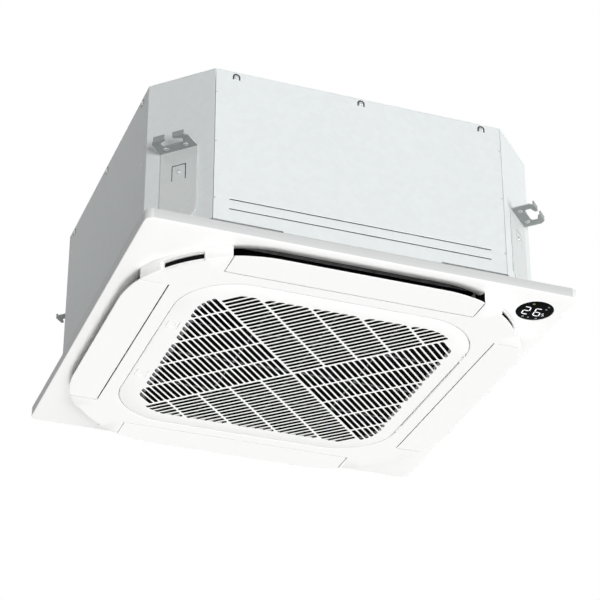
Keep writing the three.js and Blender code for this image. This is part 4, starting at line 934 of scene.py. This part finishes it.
for side in ("near", "far", "left", "right"):
    dress("side_panel_" + side, ease=0.25)
for name in ("far_right", "far_left", "near_left", "near_right"):
    dress("corner_panel_" + name, ease=0.3)
    bracket = dress("hanger_bracket_" + name, bracketSteel, ease=0.5, segments=3)
    # painted shade: faces above the claw height take the darker zinc copy
    bracket.data.materials.append(clawShadeZinc)
    for part in bracket.data.polygons:
        if part.center.z > fixings["clawFrom"] * mm:
            part.material_index = 1
    dress("panel_bolt_" + name, screwSteel, ease=0.3)
dress("top_panel", ease=0.4)
dress("frame_seal", ease=1.2, segments=3)
dress("pipe_cover_plate", ease=0.3)
for name in ("foam_liner", "drain_pan"):
    dress(name, ease=1.0)

# a flat strip on one of the four sides, its outline given along the side and upwards
def faceStrip(outline, quarter, low, high, bm):
    loops = []
    for out in (low, high):
        loops.append([bm.verts.new(Vector((*turnedPoint(panel["bodyHalf"] + out, t, quarter), z)) * mm)
                      for t, z in outline])
    bridge(bm, *loops)
    bm.faces.new(loops[0])
    bm.faces.new(loops[1])


# arched notches round the top screws, black as painted shade of the gaps behind the heads, and the shadow strips in
# the pressed lines
def buildSideMarks():
    f = fixings
    wide, narrow, leg = f["notch"]
    top = f["topZ"]
    notches = bmesh.new()
    lines = bmesh.new()
    for quarter in range(4):
        for t in f["topRow"]:
            arch = curveAround((t, top), (wide, wide), 0, math.pi, 12)
            arch += [(t - wide, top - leg), (t - narrow, top - leg)]
            arch += curveAround((t, top), (narrow, narrow), 0, math.pi, 12)[::-1]
            arch += [(t + narrow, top - leg), (t + wide, top - leg)]
            faceStrip(arch, quarter, -0.3, f["notchOut"], notches)
        ends, heights = f["pressLine"]
        end = ends[quarter % 2]
        for z in heights:
            faceStrip([(-end, z - 0.55), (end, z - 0.55), (end, z + 0.55), (-end, z + 0.55)], quarter,
                      -1.5, -1.15, lines)
    tabs = bmesh.new()
    low, high, reach, spread = f["tabShadow"]
    for quarter in range(4):
        ux, uy = turnedPoint(f["slant"], f["slant"], quarter)
        corners = ((reach, -spread), (reach + 0.35, -spread), (reach + 0.35, spread), (reach, spread))
        prism([(ux * r - uy * side, uy * r + ux * side) for r, side in corners], low, high, tabs)
    finished(rough(tabs), "tabShadows", "chassis", "sheet_steel", paintedShadeBlack)
    finished(rough(notches), "screwNotches", "chassis", "sheet_steel", notchShadeBlack)
    finished(rough(lines), "pressLineShadows", "chassis", "sheet_steel", paintedShadeBlack)


def buildFixings():
    f = fixings
    face = panel["bodyHalf"]
    screws, dots, rivets, tabScrews = [], [], [], []
    for quarter in range(4):
        nx, ny = turnedPoint(1, 0, quarter)
        for t in f["topRow"]:
            x, y = turnedPoint(face, t, quarter)
            screws.append(((x, y, f["topZ"]), (nx, ny, 0)))
        edge = f["seamEdges"][quarter % 2]
        for z in f["seamZ"]:
            for sign in (-1, 1):
                x, y = turnedPoint(face, sign * edge, quarter)
                dots.append(((x, y, z), (nx, ny, 0)))
        ux, uy = turnedPoint(f["slant"], f["slant"], quarter)
        vx, vy = turnedPoint(-f["slant"], f["slant"], quarter)
        for t, out in f["bracketRivets"]:
            reach = f["cornerDistance"] + out
            rivets.append(((ux * reach + vx * t, uy * reach + vy * t, f["rivetZ"]), (0, 0, -1)))
        reach = f["cornerDistance"] + 2
        tabScrews.append(((ux * reach, uy * reach, f["tabScrewZ"]), (ux, uy, 0)))
    head = rough(spunProfile(f["screwHead"], 18), "screwHead")
    rivet = rough(spunProfile(f["rivetHead"], 16), "rivetHead")
    for name, shape, places, size in (("sheetScrews", head, screws, 1.0), ("seamScrews", head, dots, 0.42),
                                      ("bracketRivets", rivet, rivets, 1.5),
                                      ("bracketScrews", head, tabScrews, 1.1)):
        placedShapes(name, shape, places, "chassis", "sheet_steel", screwSteel, size)
    bpy.data.objects.remove(head)
    bpy.data.objects.remove(rivet)


buildFixings()
buildSideMarks()
print("chassis done")

# air path: bellmouth, fan, motor, coil
airPath = {
    "mouth": 146, "throat": 104, "throatTop": 118, "base": 47.6, "flange": 172, "wall": 2,
    "fanRadius": 150, "eye": 110, "fanBottom": 112, "shroudRim": 150, "hubRim": 246, "hubDepth": 62, "blades": 7,
    "bladeInner": 96, "coilHalf": 205, "coilThick": 32, "coilRadius": 50, "coilArm": 95, "coilLow": 88,
    "coilHigh": 287, "fins": 430, "tubes": (8, 14, 24.5, 3.6),
}


def buildBellmouth():
    mouth, throat, top, base, flange, wall = (airPath[key] for key in
                                              ("mouth", "throat", "throatTop", "base", "flange", "wall"))
    rise = top - base - wall - 6
    centre = (mouth, top - 6)
    inner = curveAround(centre, (mouth - throat, rise + wall), -math.pi / 2, -math.pi, 16)
    outer = curveAround(centre, (mouth - throat - wall, rise), -math.pi, -math.pi / 2, 16)
    lip = [(throat, top - 0.5), (throat + 0.6, top), (throat + wall - 0.6, top), (throat + wall, top - 0.6)]
    profile = [(flange, base)] + inner + lip + outer + [(flange, base + wall + 0.6)]
    finished(rough(spunProfile(profile, 96)), "bellmouthRing", "chassis", "grey_plastic", angle=30,
             stands=("bellmouth",))


def buildFan():
    a = airPath
    outer, eye, inner, rim = a["fanRadius"], a["eye"], a["bladeInner"], a["hubRim"]
    bottom, shroud = a["fanBottom"], a["shroudRim"]
    low = rim - a["hubDepth"]
    line = [(16, low), (44, low + 2), (56, low + 6), (66, low + 13), (73, low + 24), (79, low + 38),
            (83, low + 49), (88, rim - 6), (98, rim - 2), (118, rim - 0.8), (outer - 1, rim)]
    back = [(r, z + 2.5) for r, z in reversed(line)]
    hub = spunProfile(line + back, 96)
    spunProfile([(4.3, low - 6), (15, low - 6), (16.5, low - 4.5), (18, low + 2.5), (4.3, low + 4.5)], 40, bm=hub)
    face = curveAround((outer, bottom), (outer - eye, shroud - bottom), math.pi, math.pi / 2, 12)
    rear = [(r, z + 2.4) for r, z in reversed(face)]
    spunProfile(face + rear, 96, bm=hub)
    steps = 14
    for blade in range(a["blades"]):
        turn = 2 * math.pi * blade / a["blades"]
        rows = []
        for i in range(steps + 1):
            f = i / steps
            radius = inner + (outer - 1.5 - inner) * f
            sweep = -0.75 * f - 0.12 * math.sin(f * math.pi)
            wall = 3 * (0.35 + 0.65 * math.sin(math.pi * min(0.9, f + 0.12)))
            share = min(max((outer - radius) / (outer - eye), 0), 1)
            floor = bottom + (shroud - bottom) * math.sqrt(1 - share ** 2) + 1.2
            if radius < eye + 3:
                floor = a["throatTop"] + 8 - 4 * f
            roof = rim - 2 * (1 - min(1, (radius - 98) / (outer - 98))) + 1.2
            angle = turn + sweep
            ring = []
            for side, z in ((-1, floor), (1, floor), (1, roof), (-1, roof)):
                px = radius * math.cos(angle) + side * wall * (0.3 * math.cos(turn) - 0.4 * math.sin(turn))
                py = radius * math.sin(angle) + side * wall * (0.3 * math.sin(turn) + 0.4 * math.cos(turn))
                ring.append(hub.verts.new((px * mm, py * mm, z * mm)))
            rows.append(ring)
        for first, second in zip(rows, rows[1:]):
            bridge(hub, first, second)
        hub.faces.new(rows[0])
        hub.faces.new(rows[-1])
    finished(rough(hub), "fanRotor", "fan", "grey_plastic", angle=34, stands=("fan_wheel",))


def buildCoil():
    a = airPath
    middle = a["coilHalf"] - a["coilThick"] / 2
    radius = a["coilRadius"] - a["coilThick"] / 2
    loop = roundedLoop(middle, radius, 10)
    path = [(a["coilArm"], middle)] + loop[11:] + [(middle, -middle + radius), (middle, a["coilArm"])]
    high = (a["coilLow"] + a["coilHigh"]) / 2
    mesh = bpy.data.meshes.new("coilPath")
    mesh.from_pydata([(x * mm, y * mm, high * mm) for x, y in path], [(i, i + 1) for i in range(len(path) - 1)], [])
    fins = linked("coilFins", mesh)
    plate = (0.5 * mm, a["coilThick"] * mm, (a["coilHigh"] - a["coilLow"]) * mm)
    grown(fins, finsOnPath, Count=a["fins"], Plate=plate, Material=finishes["fin_aluminium"])
    finished(fins, "coilFins", "chassis", "fin_aluminium", stands=("evaporator_coil",))
    tubes = bmesh.new()
    rows, first, rise, thick = a["tubes"]
    for row in range(rows):
        z = a["coilLow"] + first + row * rise
        for shift in (-7, 7):
            line = roundedLoop(middle + shift, radius + shift, 10)
            track = [(a["coilArm"], middle + shift)] + line[11:] + [(middle + shift, a["coilArm"])]
            previous = None
            for i, (x, y) in enumerate(track):
                before = Vector(track[max(i - 1, 0)])
                after = Vector(track[min(i + 1, len(track) - 1)])
                along = (after - before).normalized()
                ring = [tubes.verts.new(((x - along.y * thick * math.cos(t)) * mm,
                                         (y + along.x * thick * math.cos(t)) * mm, (z + thick * math.sin(t)) * mm))
                        for t in (math.pi * k / 4 for k in range(8))]
                if previous:
                    bridge(tubes, previous, ring)
                else:
                    tubes.faces.new(ring)
                previous = ring
            tubes.faces.new(previous)
    finished(rough(tubes), "coilTubes", "chassis", "copper_tube", angle=50)


buildBellmouth()
buildFan()
buildCoil()
for name in ("fan_motor", "motor_mount_1", "motor_mount_2", "motor_mount_3"):
    dress(name, ease=0.6)
for name in ("motor_shaft", "fan_nut", "coil_end_plate_right", "coil_end_plate_far", "gas_flare_nut",
             "liquid_flare_nut", "drain_pump", "float_switch", "float", "control_box", "control_box_cover",
             "control_board", "terminal_block"):
    dress(name, ease=0.25)
for name in ("gas_pipe", "liquid_pipe", "drain_pipe"):
    dress(name, ease=0.0, angle=50)
print("inside done")

for name in sorted(set(nodes) - dressed):
    nodes[name].data.materials.clear()
    nodes[name].data.materials.append(finishes[slotOfNode[name]])

# camera, floor and light
studio = {
    "floorZ": -2.4, "ambient": 0.2, "floorGlow": 0.09, "floorWhite": 0.7,
    "suns": (("sunBelow", (0.05, 0.1, -1.0), 1.66, 0.5), ("sunFront", (-0.02, -1.0, -0.35), 1.75, 0.35),
             ("sunRight", (1.0, -0.5, -0.12), 1.1, 0.4)),
    "lens": 128.1, "sensor": 36, "cameraAt": (-0.92984, -2.56985, -1.43732), "cameraWay": (0.2997, 0.8155, 0.4952),
}


def whenSeen(g):
    outputs = g.add("ShaderNodeLightPath").socket.node.outputs
    seen, shine, through = (Wire(g, outputs["Is %s Ray" % key]) for key in ("Camera", "Glossy", "Transmission"))
    return seen.maths("MAXIMUM", seen.maths("MAXIMUM", seen, shine), through)


class WorldGraph(Graph):
    def __init__(self, world):
        world.use_nodes = True
        self.tree = world.node_tree
        self.tree.nodes.clear()


def aimed(name, data, spot, way):
    thing = linked(name, data)
    thing.location = spot
    thing.rotation_mode = "QUATERNION"
    thing.rotation_quaternion = way.to_track_quat("-Z", "Y")
    return thing


def buildStage():
    s = studio
    bpy.ops.mesh.primitive_plane_add(size=40, location=(0, 0, s["floorZ"]))
    floor = bpy.context.object
    floor.name = "floor"
    g = Graph("floorPale")
    lit = g.add("ShaderNodeBsdfDiffuse", {}, {"Color": (0.9, 0.9, 0.9, 1)})
    strength = whenSeen(g) * (s["floorWhite"] - s["floorGlow"]) + s["floorGlow"]
    glow = g.add("ShaderNodeEmission", {}, {"Color": (1, 1, 1, 1), "Strength": strength})
    both = g.add("ShaderNodeAddShader", {}, {0: lit, 1: glow})
    clear = g.add("ShaderNodeBsdfTransparent")
    back = g.add("ShaderNodeNewGeometry", output="Backfacing")
    surface = g.add("ShaderNodeMixShader", {}, {0: back, 1: both, 2: clear})
    g.add("ShaderNodeOutputMaterial", {}, {"Surface": surface})
    floor.data.materials.append(g.material)
    floor.visible_shadow = False

    world = scene.world or bpy.data.worlds.new("studioWorld")
    scene.world = world
    w = WorldGraph(world)
    soft = w.add("ShaderNodeBackground", {}, {"Color": (1, 1, 1, 1), "Strength": s["ambient"]})
    white = w.add("ShaderNodeBackground", {}, {"Color": (1, 1, 1, 1), "Strength": 1.0})
    surface = w.add("ShaderNodeMixShader", {}, {0: whenSeen(w), 1: soft, 2: white})
    w.add("ShaderNodeOutputWorld", {}, {"Surface": surface})

    for name, way, strength, spread in s["suns"]:
        data = bpy.data.lights.new(name, "SUN")
        data.energy = strength
        data.angle = spread
        aimed(name, data, Vector(way) * 3, -Vector(way)).visible_camera = False

    data = bpy.data.cameras.new("photoCamera")
    data.lens = s["lens"]
    data.sensor_width = s["sensor"]
    data.clip_end = 50
    scene.camera = aimed("photoCamera", data, s["cameraAt"], Vector(s["cameraWay"]))
    scene.view_settings.view_transform = "Standard"


buildStage()
print("stage done")
